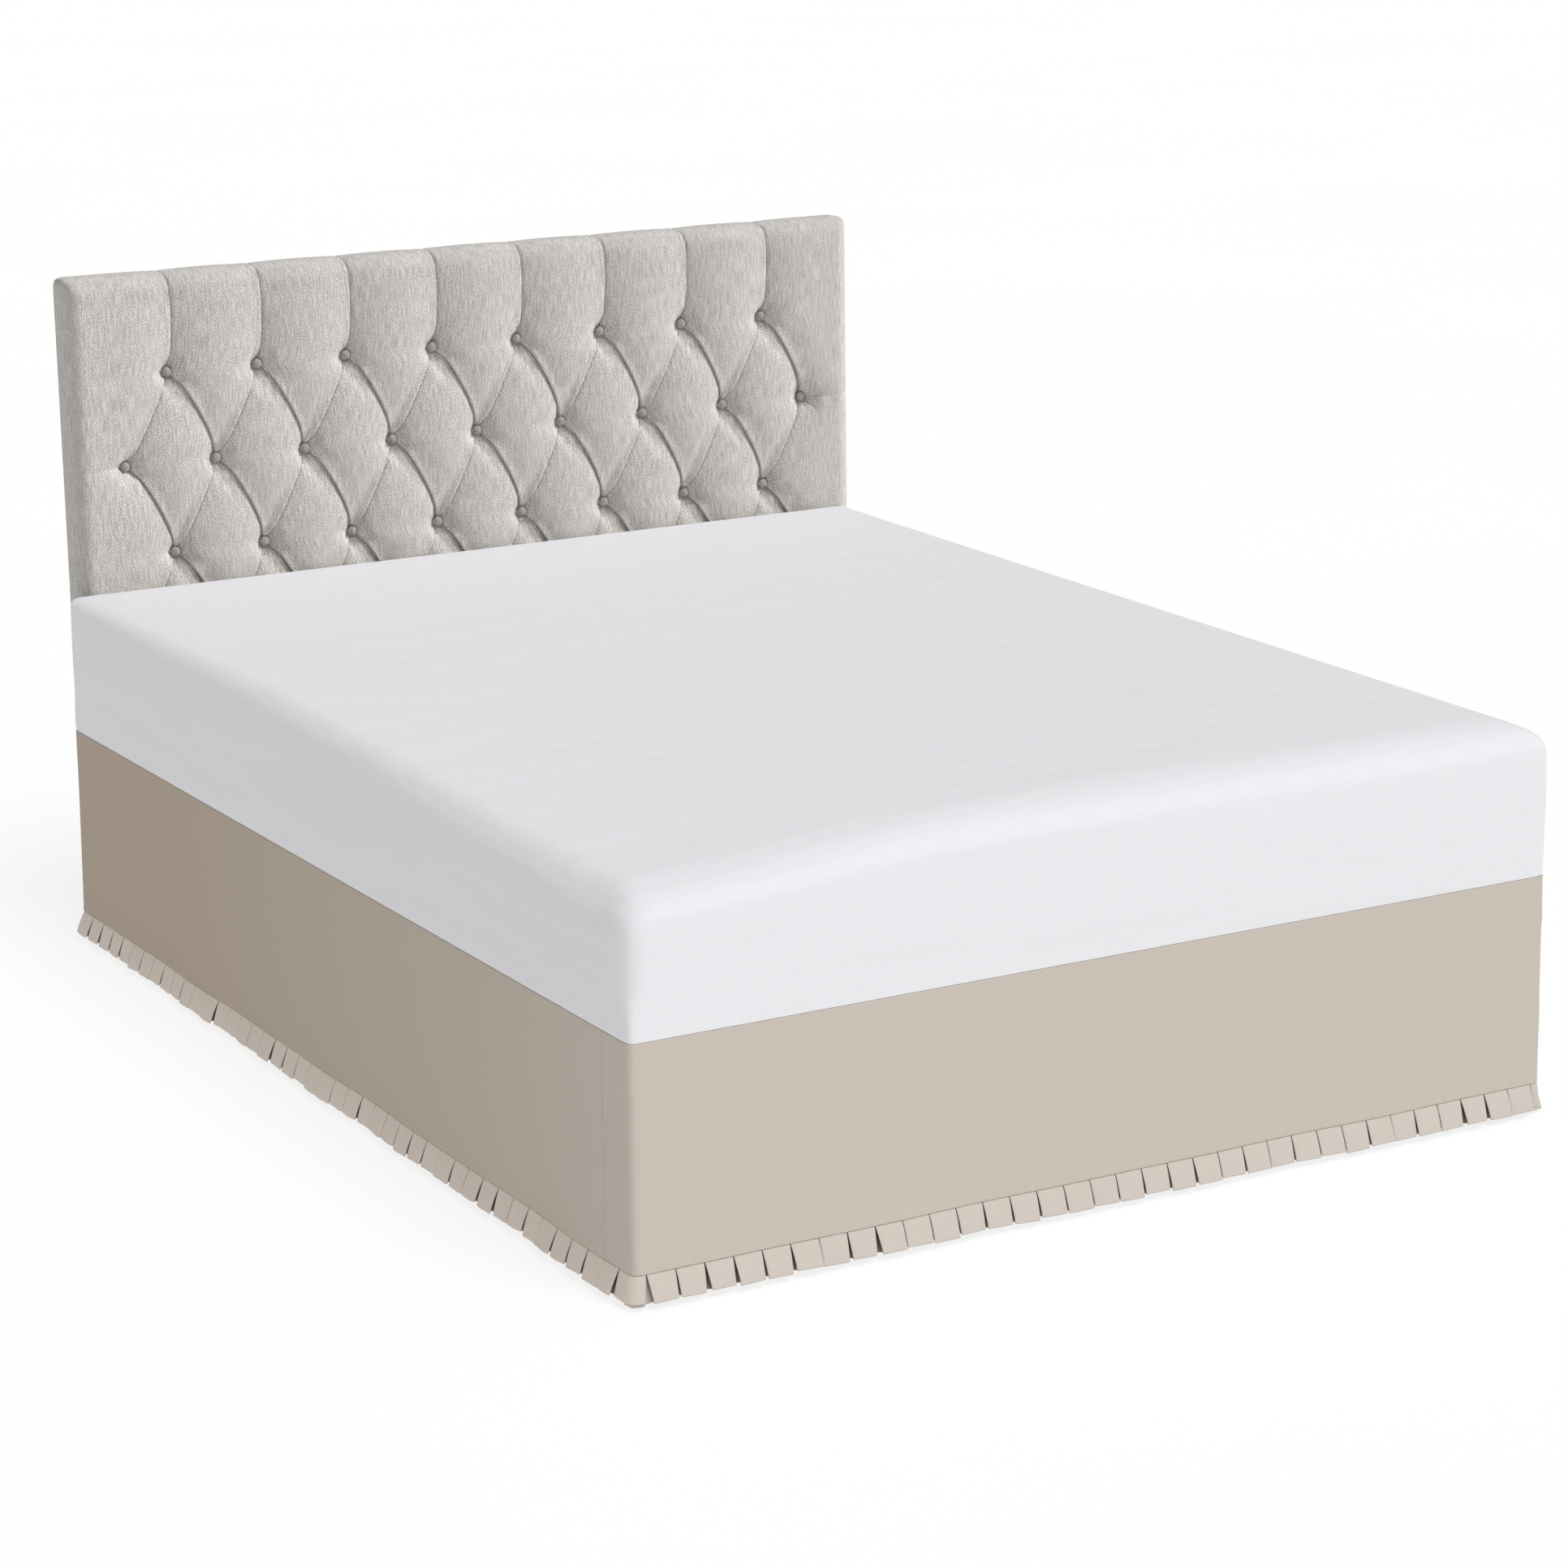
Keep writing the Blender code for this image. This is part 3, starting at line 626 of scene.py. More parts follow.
def pleat_line(tab_count):
    """The columns of the strip: tab, the two marks it lies between, share, turn offset, layer."""
    radius = PLEAT_DEPTH / 2
    columns = []

    def fold(tab, mark, way, layer, toward):
        for angle in (0, 60, 120, 180):
            turn = math.radians(angle)
            offset = way * radius * (1.0 - math.sin(turn))
            depth = layer + toward * (1.0 - math.cos(turn)) / 2
            columns.append((tab, mark, mark, 0.0, offset, depth))

    def run(tab, first, last, layer, count):
        for k in range(1, count + 1):
            columns.append((tab, first, last, k / (count + 1), 0.0, layer))

    for tab in range(tab_count):
        fold(tab, INNER_LEFT, -1, 2.0, -1.0)
        run(tab, INNER_LEFT, LEFT, 1.0, 1)
        fold(tab, LEFT, 1, 1.0, -1.0)
        run(tab, LEFT, RIGHT, 0.0, 9)
        fold(tab, RIGHT, -1, 0.0, 1.0)
        run(tab, RIGHT, INNER_RIGHT, 1.0, 1)
        fold(tab, INNER_RIGHT, 1, 1.0, 1.0)
        if tab < tab_count - 1:
            run(tab, INNER_RIGHT, NEXT, 2.0, 4)
    return np.array(columns[2:-2])          # the first and last folds have no layer behind them


print("columns for each tab:", len(pleat_line(2)) - len(pleat_line(1)))

# %% [markdown]
# ## How each tab hangs
# Pressed tabs are stiff, so they swing out from the seam nearly straight, and no two of them alike. A
# sum of sines of the tab's number stands in for chance, and gives the same band every time. The strip
# is doubled, so its hem is a fold and shows no stitches. On the sides the cloth is less crisp: there
# the hem waves a little and the tabs' lower corners are rounder. Under the tab that turns the foot
# corner the inner folds meet and hang lower, and show as two small points.

# %% How each tab hangs
BAND_CLOTH = 0.0009
BAND_FLARE = 0.014
BAND_UNEVEN = 0.0022
CORNER_FLARE = (0.70, 0.25)     # what is left of the flare at the corners, left and right
POCKET = 0.006                  # how much deeper the fold behind an open gap is pushed in
UNDERLAY_FLARE_SHARE = 0.88
HEM_UNEVEN = 0.0016
UNDERLAY_DROP = 0.0002          # how much lower than the tabs the underlay hangs
HEM_WAVE = 0.0005               # on the sides only, as is the next
CORNER_ROUNDING = 0.0012        # how much higher a tab's lower corners are than its hem
TAB_BOW = 0.0006                # how far the middle of a tab bows out
SEAM_TUCK = 0.0005              # how far the seam pulls the tabs' tops in
CORNER_DROP = 0.0052            # how much lower the inner folds hang at a foot corner
CORNER_UNDER_SHARE = 0.47       # there they nearly meet behind the tab
BAND_TOP = SEAM_HEIGHT - 0.0004
BAND_ROWS = np.array((0.0, 0.06, 0.16, 0.32, 0.5, 0.68, 0.84, 0.95, 1.0))


def uneven(number, seed):
    """A steady stand-in for chance, from -1 to 1."""
    return np.sin(2.399 * number + seed) * np.cos(0.73 * number * seed + 0.4)


def strip_places(start, end, gaps, ends, line):
    """Where the strip's columns lie on the way down: along the seam, within the tab, at a corner."""
    widths = tab_widths(start, end, gaps, ends)
    edges = start + np.concatenate(([0.0], np.cumsum(widths)))
    middles = (edges[:-1] + edges[1:]) / 2
    past_side = np.minimum(middles, SKIRT_LENGTH - middles) - SIDE_LENGTH
    at_corner = (past_side > 0) & (past_side < ARC_LENGTH)
    unders = np.where(at_corner, CORNER_UNDER_SHARE, UNDERLAY_SHARE) * widths
    opening = np.array([0.0] + [GAP_OPENING[gap] for gap in gaps] + [0.0])
    tab, first, last = (line[:, k].astype(int)[:, None] for k in range(3))
    share, offset = line[:, 3][:, None], line[:, 4][:, None]
    down = BAND_ROWS[None, :]
    left, right = edges[tab], edges[tab + 1]
    following = np.minimum(tab + 1, len(widths) - 1)
    marks = [place + 0.0 * down for place in (
        left + unders[tab], left + PLEAT_GAP + opening[tab] / 2 * down,
        right - PLEAT_GAP - opening[tab + 1] / 2 * down, right - unders[tab],
        edges[following] + unders[following])]
    distance = (1.0 - share) * np.choose(first, marks) + share * np.choose(last, marks) + offset
    across = (distance - left) / widths[tab] - 0.5
    flare_there = np.where(middles[tab] < SKIRT_LENGTH / 2, *CORNER_FLARE) * BAND_FLARE
    return distance, across, np.where(at_corner[tab], flare_there, 0.0)


def band_grid(start, end, gaps, ends, crisp):
    """The band's points, their flat layout, and how deep in a fold each one is."""
    line = pleat_line(len(gaps) + 1)
    tab, share, layer = line[:, 0].astype(int)[:, None], line[:, 3][:, None], line[:, 5][:, None]
    down = BAND_ROWS[None, :]
    distance, across, corner_flare = strip_places(start, end, gaps, ends, line)
    behind = np.clip(layer - 1.0, 0.0, 1.0)
    from_corner = np.abs(np.minimum(distance, SKIRT_LENGTH - distance) - SIDE_LENGTH - ARC_LENGTH / 2)
    flare = BAND_FLARE + BAND_UNEVEN * (uneven(tab, 1.7) + 0.8 * across * uneven(tab, 2.3))
    flare = np.where(corner_flare > 0.0, corner_flare, flare)
    flare = flare + (UNDERLAY_FLARE_SHARE * BAND_FLARE - flare) * behind
    rise = HEM_UNEVEN * (uneven(tab, 0.6) + 1.1 * across * uneven(tab, 3.1))
    rise = np.where(corner_flare > 0.0, 0.0, rise)
    rise = rise - (UNDERLAY_DROP + rise) * behind
    rise = rise - CORNER_DROP * (1.0 - smooth_step(0.001, 0.023, from_corner)) * np.clip(layer, 0, 1)
    if not crisp:
        hem_wave = HEM_WAVE * wave(distance, 0.037, 2.0 * np.sin(distance / 0.09))
        rounding = CORNER_ROUNDING * smooth_step(0.40, 0.5, np.abs(across))
        rise = rise + (hem_wave + rounding) * (1.0 - behind)
    height = BAND_TOP + (HEM_HEIGHT + rise - BAND_TOP) * down
    swing = flare * (1.25 * down - 0.25 * down * down)
    bow = TAB_BOW * (1.0 - (2.0 * across) ** 2) * down * (1.0 - behind)
    tuck = -SEAM_TUCK * (1.0 - smooth_step(0.0, 0.12, down))
    pocket = POCKET * (layer == 2.0) * bump_at(share, 0.5, 0.22) * (share > 0.0) * np.sqrt(down)
    out = panel_hang(distance, 1.0) + swing + bow + tuck - pocket - PLEAT_DEPTH * layer
    grid = along_skirt(distance, out, height)
    steps = np.linalg.norm(np.diff(grid[:, 0], axis=0), axis=1)
    flat = np.concatenate(([0.0], np.cumsum(steps)))
    cloth_map = np.stack((flat[:, None] + 0.0 * down, (BAND_TOP - height)), -1)
    depth = smooth_step(0.3, 1.0, layer) * (1.0 - 0.3 * down) * smooth_step(0.008, 0.024, from_corner)
    return grid, cloth_map, depth


print("band", round(1000 * (BAND_TOP - HEM_HEIGHT)), "mm deep, flared", round(1000 * BAND_FLARE), "mm")

# %% [markdown]
# ## The three bands
# There is one strip under each panel. The letters say how wide the gap after each tab opens, and the
# foot's strip has its two given tabs at each corner. The strip's length, laid flat, is measured along
# the folds at the seam.

# %% The three bands
MEETING = PLEAT_GAP - 2 * HALF_FIT      # brings the tabs on both sides of an upright seam together
bands = {
    "left": (0.0, LEFT_SEAM + MEETING, LEFT_GAPS, (), False),
    "foot": (LEFT_SEAM - MEETING, RIGHT_SEAM + MEETING, FOOT_GAPS, (SEAM_TAB, CORNER_TAB), True),
    "right": (RIGHT_SEAM - MEETING, SKIRT_LENGTH, LEFT_GAPS[::-1], (), False),
}
for side, (start, end, gaps, ends, crisp) in bands.items():
    grid, cloth_map, depth = band_grid(start, end, gaps, ends, crisp)
    band = make_sheet(f"{side}_pleated_band", grid, cloth_map, BAND_CLOTH, TAUPE_BAND, depth)
    settle(band, "taupe_cotton", f"band_{side}")

# %% [markdown]
# ## Stitches
# A row of stitches is one small shape repeated along a path, which is what Geometry Nodes are for.
# The paths are plain edges. The tree turns them to curves, sets points on them one stitch apart,
# puts a short thread on each point and turns it along the path. The thread has only twenty faces,
# because there are thousands of stitches. The result is made real, and then a plain mesh.

# %% The stitching tree
def new_tree(name, inputs):
    """A Geometry Nodes tree with these inputs, and the sockets that give their values."""
    tree = bpy.data.node_groups.new(name, "GeometryNodeTree")
    for title, kind in inputs.items():
        tree.interface.new_socket(title, in_out="INPUT", socket_type=f"NodeSocket{kind}")
    tree.interface.new_socket("Made", in_out="OUTPUT", socket_type="NodeSocketGeometry")
    return tree, add_node(tree, "NodeGroupInput").outputs


def set_out(tree, points, thing, rotation, material, scale=(1.0, 1.0, 1.0)):
    """Ends a tree: a copy of the thing on every point, made real, smooth and painted."""
    placed = made_by(tree, "GeometryNodeInstanceOnPoints",
                     {"Points": points, "Instance": thing, "Rotation": rotation, "Scale": scale})
    real = made_by(tree, "GeometryNodeRealizeInstances", {"Geometry": placed})
    soft = made_by(tree, "GeometryNodeSetShadeSmooth", {"Geometry": real})
    painted = made_by(tree, "GeometryNodeSetMaterial", {"Geometry": soft, "Material": material})
    add_node(tree, "NodeGroupOutput", {"Made": painted})


def stitching_tree():
    tree, given = new_tree("sewn line", {"Paths": "Geometry", "Stitch pitch": "Float",
                                         "Stitch length": "Float", "Thread width": "Float",
                                         "Thread": "Material"})
    curve = made_by(tree, "GeometryNodeMeshToCurve", {"Mesh": given["Paths"]})
    spaced = made_by(tree, "GeometryNodeResampleCurve",
                     {"Curve": curve, "Length": given["Stitch pitch"]}, mode="LENGTH")
    tangent = made_by(tree, "GeometryNodeInputTangent")
    turn = made_by(tree, "FunctionNodeAlignRotationToVector", {"Vector": tangent}, axis="X")
    width = given["Thread width"]
    size = made_by(tree, "ShaderNodeCombineXYZ", {"X": given["Stitch length"], "Y": width, "Z": width})
    bead = made_by(tree, "GeometryNodeMeshIcoSphere", {"Radius": 0.5, "Subdivisions": 1})
    set_out(tree, spaced, bead, turn, given["Thread"], size)
    return tree


def grow(piece, tree, values):
    """Runs a Geometry Nodes tree with these named inputs and keeps the mesh that it makes."""
    modifier = piece.modifiers.new(tree.name, "NODES")
    modifier.node_group = tree
    for item in tree.interface.items_tree:
        if item.in_out == "INPUT" and item.name in values:
            modifier[item.identifier] = values[item.name]
    bake_modifiers(piece)


SEWN_LINE = stitching_tree()
print("tree:", SEWN_LINE.name)

# %% [markdown]
# ## Where the stitches run
# The upright seams have a line on each side, and the side panels' head ends have a stitched hem. The
# thread is polyester, a shade darker than the cloth and a little glossier.

# %% Where the stitches run
STITCHES_OFF = 0.0042           # from the seam
STITCHES_LIFT = 0.0007          # from the middle of the cloth


def thread_material():
    material, tree, shader = new_material("taupe polyester thread", 0.5, ior=1.57, sheen=0.2)
    twist = noise(tree, object_place(tree), (1500.0, 1500.0, 1500.0), detail=1.0)
    paint(tree, shader, twist, "#C2B8AA", "#CDC3B6")
    return material


def seam_paths():
    """Upright lines on the panels, from just below the mattress to the band."""
    height = np.linspace(DECK_TOP - 0.004, SEAM_HEIGHT + 0.002, 40)
    seams = [seam + off for seam in (LEFT_SEAM, RIGHT_SEAM) for off in (-STITCHES_OFF, STITCHES_OFF)]
    for place in (*seams, SIDE_HEM, SKIRT_LENGTH - SIDE_HEM):
        distance = np.full_like(height, place)
        yield along_skirt(distance, panel_out(distance, height), height)


def path_piece(name, lines):
    """Plain edges for the tree to follow, lifted onto the cloth's face."""
    points, edges = [], []
    for line in lines:
        first = len(points)
        x = line[:, :1]
        outward = np.where(np.abs(x) > SKIRT_X - 0.001, np.sign(x) * [[1, 0, 0]], [[0, -1, 0]])
        points += (line + STITCHES_LIFT * outward).tolist()
        edges += [(first + k, first + k + 1) for k in range(len(line) - 1)]
    return new_shape(name, points, edges)


stitches = path_piece("skirt_stitches", seam_paths())
grow(stitches, SEWN_LINE, {"Stitch pitch": 0.0032, "Stitch length": 0.0024, "Thread width": 0.0004,
                           "Thread": thread_material()})
settle(stitches, "taupe_cotton")

# %% [markdown]
# ## The deck
# The deck is the flat cloth that holds the skirt in place. It lies on the base under the mattress
# and is hidden, but it carries the panels, so it is made as a thin flat sheet.

# %% The deck
DECK_THICKNESS = 0.0009


def make_deck():
    edge = SKIRT_X - 0.0012
    x, y = np.meshgrid(np.linspace(-edge, edge, 61), np.linspace(SKIRT_HEAD_Y, FOOT_Y + 0.003, 81),
                       indexing="ij")
    z = np.full_like(x, DECK_TOP - 0.0006)
    piece = make_sheet("deck_sheet", np.stack((x, y, z), -1), np.stack((x, y), -1),
                       DECK_THICKNESS, DECK_CLOTH)
    settle(piece, "deck_cloth", "deck")


make_deck()

# %% [markdown]
# ## A box that can be shaped
# The mattress and the headboard's pad are soft boxes. Both start from the same thing: the surface of
# a box, cut into a grid along every side, with its points shared at the edges so that it stays one
# closed skin. The back can be left as a single flat face where nothing shows on it.

# %% A box that can be shaped
FRONT, BACK, LEFT_SIDE, RIGHT_SIDE, UNDER, TOP = range(6)


def box_skin(xs, ys, zs, flat_back=False):
    """Points, four-sided faces and the side that each face is on, for a box cut at these places."""
    last = len(xs) - 1, len(ys) - 1, len(zs) - 1
    i, j, k = np.meshgrid(*(np.arange(n + 1) for n in last), indexing="ij", sparse=True)
    skin = (i % last[0] == 0) | (j % last[1] == 0) | (k % last[2] == 0)
    if flat_back:
        skin[1:-1, -1, 1:-1] = False
    number = np.full(skin.shape, -1)
    number[skin] = np.arange(skin.sum())
    ways = {FRONT: number[:, 0], BACK: number[:, -1].T, LEFT_SIDE: number[0].T,
            RIGHT_SIDE: number[-1], UNDER: number[:, :, 0].T, TOP: number[:, :, -1]}
    faces, sides = [], []
    for side, plane in ways.items():
        if side == BACK and flat_back:
            continue
        quads = np.stack((plane[:-1, :-1], plane[1:, :-1], plane[1:, 1:], plane[:-1, 1:]), -1)
        faces.append(quads.reshape(-1, 4))
        sides.append(np.full(len(faces[-1]), side))
    i, j, k = np.nonzero(skin)
    points = np.stack((xs[i], ys[j], zs[k]), -1)
    rim = np.concatenate((number[:-1, -1, 0], number[-1, -1, :-1], number[:0:-1, -1, -1],
                          number[0, -1, :0:-1]))
    return points, np.concatenate(faces), np.concatenate(sides), rim


def box_layout(points, faces, sides):
    """A flat layout in metres for every face corner, each side of the box laid out by itself."""
    corners = points[faces]
    x, y, z = corners[..., 0], corners[..., 1], corners[..., 2]
    front, top = points[:, 1].min(), points[:, 2].max()
    side = sides[:, None]
    u = np.where((side == LEFT_SIDE) | (side == RIGHT_SIDE), y, x)
    v = np.where((side == TOP) | (side == UNDER), top + y - front, z)
    return np.stack((u, v), -1)


print("six sides, numbered", FRONT, "to", TOP)

# %% [markdown]
# ## The mattress in its fitted sheet
# A foam mattress under a stretched sheet has no hard edge. Its top rolls over to the sides in a curve
# that is wide across and shallow down, softer at the foot than at the head, and its sides swell a few
# millimetres. The sheet rolls over lower along the left side than along the right one, and the soft
# corner at the foot's left end hangs a little below the rest. The edges here are superellipses: a
# power above 2 keeps a curve fuller than a circle's. A few long shallow wrinkles show that the sheet
# is cloth.

# %% The mattress in its fitted sheet
SIDE_SWELL = (0.0018, 0.0036)       # left, right
LOWEST_POWER = 14.0             # rounding of the upright corners, seen from above: crisp at the skirt,
UPPER_POWER = (4.6, 10.0)       # and from SOFT_FROM on up as soft as the sheet is loose: left, right
SOFT_FROM = 0.075
EDGE_POWER = 2.3
LOWER_EDGE = 0.0010
TOP_DROP = (0.014, 0.046)       # at the head and at the foot, as the next three
TOP_REACH = (0.030, 0.100)
LEFT_DROP = (0.016, 0.090)
LEFT_REACH = (0.028, 0.058)
CORNER_SAG = 0.034
SAG_REACH = (0.56, 1.30)        # the sag fades out so far along the foot and along the left side
EDGE_CUTS = (0, 2, 4, 7, 10, 14, 18, 23, 29, 36, 44, 53, 63, 75, 88)

# Wrinkles of the sheet: middle across and along, direction in degrees, half length, width, height
WRINKLES = ((-0.30, -0.90, 12, 0.16, 0.012, 0.0010), (-0.12, -0.97, 20, 0.10, 0.009, 0.0009),
            (0.08, -0.86, -8, 0.20, 0.014, 0.0008), (0.34, -0.80, 30, 0.14, 0.012, 0.0007),
            (-0.52, -0.72, 48, 0.18, 0.014, 0.0008), (0.55, -0.55, 62, 0.22, 0.016, 0.0007),
            (-0.10, 0.10, 84, 0.40, 0.022, 0.0006), (0.30, 0.45, 100, 0.30, 0.020, 0.0006))


def graded(low, high, step, cuts):
    """Places from low to high, step apart, with the given cuts in mm at both ends."""
    edge = np.array(cuts) / 1000
    count = max(1, round((high - low - 2 * edge[-1]) / step))
    middle = np.linspace(low + edge[-1], high - edge[-1], count + 1)
    return np.concatenate((low + edge[:-1], middle, (high - edge[:-1])[::-1]))


def sheet_wrinkles(x, y):
    total = np.zeros_like(x)
    for middle_x, middle_y, degrees, long, wide, rise in WRINKLES:
        way = math.radians(degrees)
        along = (x - middle_x) * math.cos(way) + (y - middle_y) * math.sin(way)
        off = (y - middle_y) * math.cos(way) - (x - middle_x) * math.sin(way)
        off = off + 0.15 * along * along / long
        ridge = bump_at(off, 0.0, wide) - 0.6 * bump_at(off, 1.7 * wide, wide)
        total += rise * ridge * bump_at(along, 0.0, long)
    return total


def between(ends, share):
    """A size that goes from its first value to its second."""
    return ends[0] + (ends[1] - ends[0]) * share


def rounded_sides(x, y, reach_x, reach_y, power):
    """How far points are into the rounding along x, along y and in plan; 1 is the outline."""
    out_x = np.clip((np.abs(x) - (BED_WIDTH / 2 - reach_x)) / reach_x, 0.0, 1.0)
    out_y = np.clip((np.abs(y) - (BED_LENGTH / 2 - reach_y)) / reach_y, 0.0, 1.0)
    return out_x, out_y, (out_x ** power + out_y ** power) ** (1 / power)


print("wrinkles in the sheet:", len(WRINKLES))

# %% [markdown]
# ## Rolling the mattress's edges over
# Every point of the box is asked how far into the rounding it lies: across, along and up. A point
# beyond the rounded outline is drawn back onto it. The swell of the sides, the tuck at the skirt, the
# wrinkles and the sag of the soft corner are added to that.

# %% Rolling the mattress's edges over
def rolled_over(points, low, high):
    """The box's points on the mattress's soft surface."""
    x, y, z = points[:, 0], points[:, 1] - BED_Y, points[:, 2]
    toward_foot = np.clip((BED_LENGTH / 2 - y) / BED_LENGTH, 0.0, 1.0)
    reach = between(TOP_REACH, toward_foot)
    reach_x = np.where(x < 0, between(LEFT_REACH, toward_foot), reach)
    power = np.where(x < 0, *UPPER_POWER) / LOWEST_POWER
    power = LOWEST_POWER * power ** smooth_step(0.0, SOFT_FROM, z - low[2])
    out_x, out_y, plan = rounded_sides(x, y, reach_x, reach, power)
    to_left = (x < 0) * out_x ** 2 / (out_x ** 2 + out_y ** 2 + 1e-6)
    drop = between((between(TOP_DROP, toward_foot ** 0.8), between(LEFT_DROP, toward_foot ** 0.6)),
                   to_left)
    out_z = np.clip(1.0 - (high[2] - z) / drop, 0.0, 1.0)
    whole = np.maximum(1.0, (plan ** EDGE_POWER + out_z ** EDGE_POWER) ** (1 / EDGE_POWER))
    new_z = np.where(out_z > 0.0, high[2] - drop * (1.0 - out_z / whole), z)
    from_floor = np.clip((z - low[2]) / LOWER_EDGE, 0.0, 1.0)
    tuck = LOWER_EDGE * (1.0 - np.sqrt(1.0 - (1.0 - from_floor) ** 2)) * smooth_step(0.9, 1.0, plan)
    middle = np.clip((z - low[2]) / (high[2] - low[2]), 0.0, 1.0)
    swell = between(SIDE_SWELL, smooth_step(-0.7, 0.7, x)) * np.sin(math.pi * middle) ** 0.8 - tuck
    new_x = np.minimum(np.abs(x), BED_WIDTH / 2 - reach_x) + reach_x * out_x / whole
    new_y = np.minimum(np.abs(y), BED_LENGTH / 2 - reach) + reach * out_y / whole
    new_x += swell * smooth_step(0.6, 1.0, out_x)
    new_y += np.where(y < 0, swell, -tuck) * smooth_step(0.6, 1.0, out_y)
    new_z += sheet_wrinkles(x, points[:, 1]) * smooth_step(high[2] - 0.002, high[2], z)
    sag = smooth_step(SAG_REACH[0], 0.0, x + BED_WIDTH / 2)
    sag = sag * smooth_step(SAG_REACH[1], 0.0, y + BED_LENGTH / 2)
    new_z -= CORNER_SAG * sag * smooth_step(0.2, 1.0, middle)
    return np.stack((np.sign(x) * new_x, BED_Y + np.sign(y) * new_y, new_z), -1)


def make_mattress():
    low, high = cad_box("mattress")
    points, faces, sides, _ = box_skin(graded(low[0], high[0], 0.016, EDGE_CUTS),
                                       graded(low[1], high[1], 0.016, EDGE_CUTS),
                                       graded(low[2], high[2], 0.009, (0, 1, 2, 4, 8, 14, 20, 26, 32)))
    piece = make_piece("mattress_in_fitted_sheet", rolled_over(points, low, high), faces.tolist(),
                       WHITE, box_layout(points, faces, sides))
    settle(piece, "white_sheet", "mattress")


make_mattress()

# %% [markdown]
# ## The tufted pad: its lattice
# Deep tufting pulls a padded cloth back at a lattice of buttons. The slack between the buttons is
# folded into pleats, so the cloth swells into diamonds. The pleats run along two families of slanting
# lines, falling and rising to the right. If a grid has 64 columns for each button across and 32 rows
# for each row of buttons, every pleat runs exactly along the diagonals of its cells. The lattice lines
# are then drawn toward the pleats, which makes the mesh fine in the folds and coarse on the diamonds.

# %% The tufted pad: its lattice
BUTTON_PITCH = 0.165
BUTTON_ROW = 0.155
TOP_ROW_HEIGHT = 0.960
MIDDLE_ROW_HEIGHT = TOP_ROW_HEIGHT - BUTTON_ROW
BUTTON_ROWS = 3
BUTTONS_IN_TOP_ROW = 8
OUTER = BUTTONS_IN_TOP_ROW / 2          # the outer buttons of the middle row, in pitches
HEADBOARD_SHIFT = 0.022
COLUMNS_PER_PITCH = 64
ROWS_PER_ROW = 32
GATHER = 0.62                           # how far lattice lines are drawn toward the pleats, 0 to 1
PLEAT_SPACING = BUTTON_PITCH * BUTTON_ROW / math.hypot(BUTTON_PITCH / 2, BUTTON_ROW)
PAD_LOW, PAD_HIGH = cad_box("headboard_pad")
PAD_FRONT = HEAD_Y + 0.0004
PAD_EDGE = 0.030                        # radius of the rolled edges, and a tighter one below
PAD_LOWER_EDGE = 0.008
PAD_CORNER_POWER = 5


def button_places():
    places = []
    for row in range(BUTTON_ROWS):
        count = BUTTONS_IN_TOP_ROW + row % 2
        for number in range(count):
            x = HEADBOARD_SHIFT + (number - (count - 1) / 2) * BUTTON_PITCH
            places.append((x, TOP_ROW_HEIGHT - row * BUTTON_ROW))
    return np.array(places)


def nearest(value):
    """The signed distance to the nearest whole number."""
    return value - np.round(value)


def in_lattice(x, z):
    """How many pitches points lie across and how many rows up, from the middle button."""
    return (x - HEADBOARD_SHIFT) / BUTTON_PITCH, (z - MIDDLE_ROW_HEIGHT) / BUTTON_ROW


def drawn(value):
    return value - GATHER * np.sin(2 * math.pi * value) / (2 * math.pi)


def draw_to_pleats(points):
    """Moves the grid's points within the cloth so that they crowd along the pleats."""
    across, up = in_lattice(points[:, 0], points[:, 2])
    falling, rising = drawn(across + up / 2), drawn(across - up / 2)
    upright = drawn(across + 0.5) - 0.5
    new_across = np.where(up < 1.0, (falling + rising) / 2, upright)
    new_up = np.where(up < 1.0, falling - rising, up)
    share = smooth_step(0.56, 0.60, points[:, 2]) * smooth_step(OUTER + 0.45, OUTER, np.abs(across))
    moved = points.copy()
    moved[:, 0] += share * (new_across - across) * BUTTON_PITCH
    moved[:, 2] += share * (new_up - up) * BUTTON_ROW
    return moved


print(len(button_places()), "buttons, pleats", round(1000 * PLEAT_SPACING), "mm apart")

# %% [markdown]
# ## The tufted pad: its folds
# Three things shape the cloth. The valleys between the diamonds are broad and get deepest at the
# buttons. On the valley's line the slack lies in a fold: along the falling pleats it is a thick lip
# that hangs over its lower neighbour, along the rising and the upright ones it is a fine tuck. And
# because the slack is always laid to the same side, the pleats bow to the right. Each is a small table
# in millimetres, read with straight lines between its entries.

# %% The tufted pad: its folds
CREASE_DEPTH = 0.0120
UPRIGHT_FADE = 1.35             # how much an upright pleat loses on its way to the top
BUTTON_PIT = 0.0060
PIT_INNER, PIT_OUTER = 0.0095, 0.034
BUTTON_GROOVE = 0.0050          # the tight ring round each button
GATHERS = 0.0007                # height of the fine gathers that run out from it
LEVEL_TUCK = 0.0016             # the tuck from each outer button to the pad's side
MM = 0.001

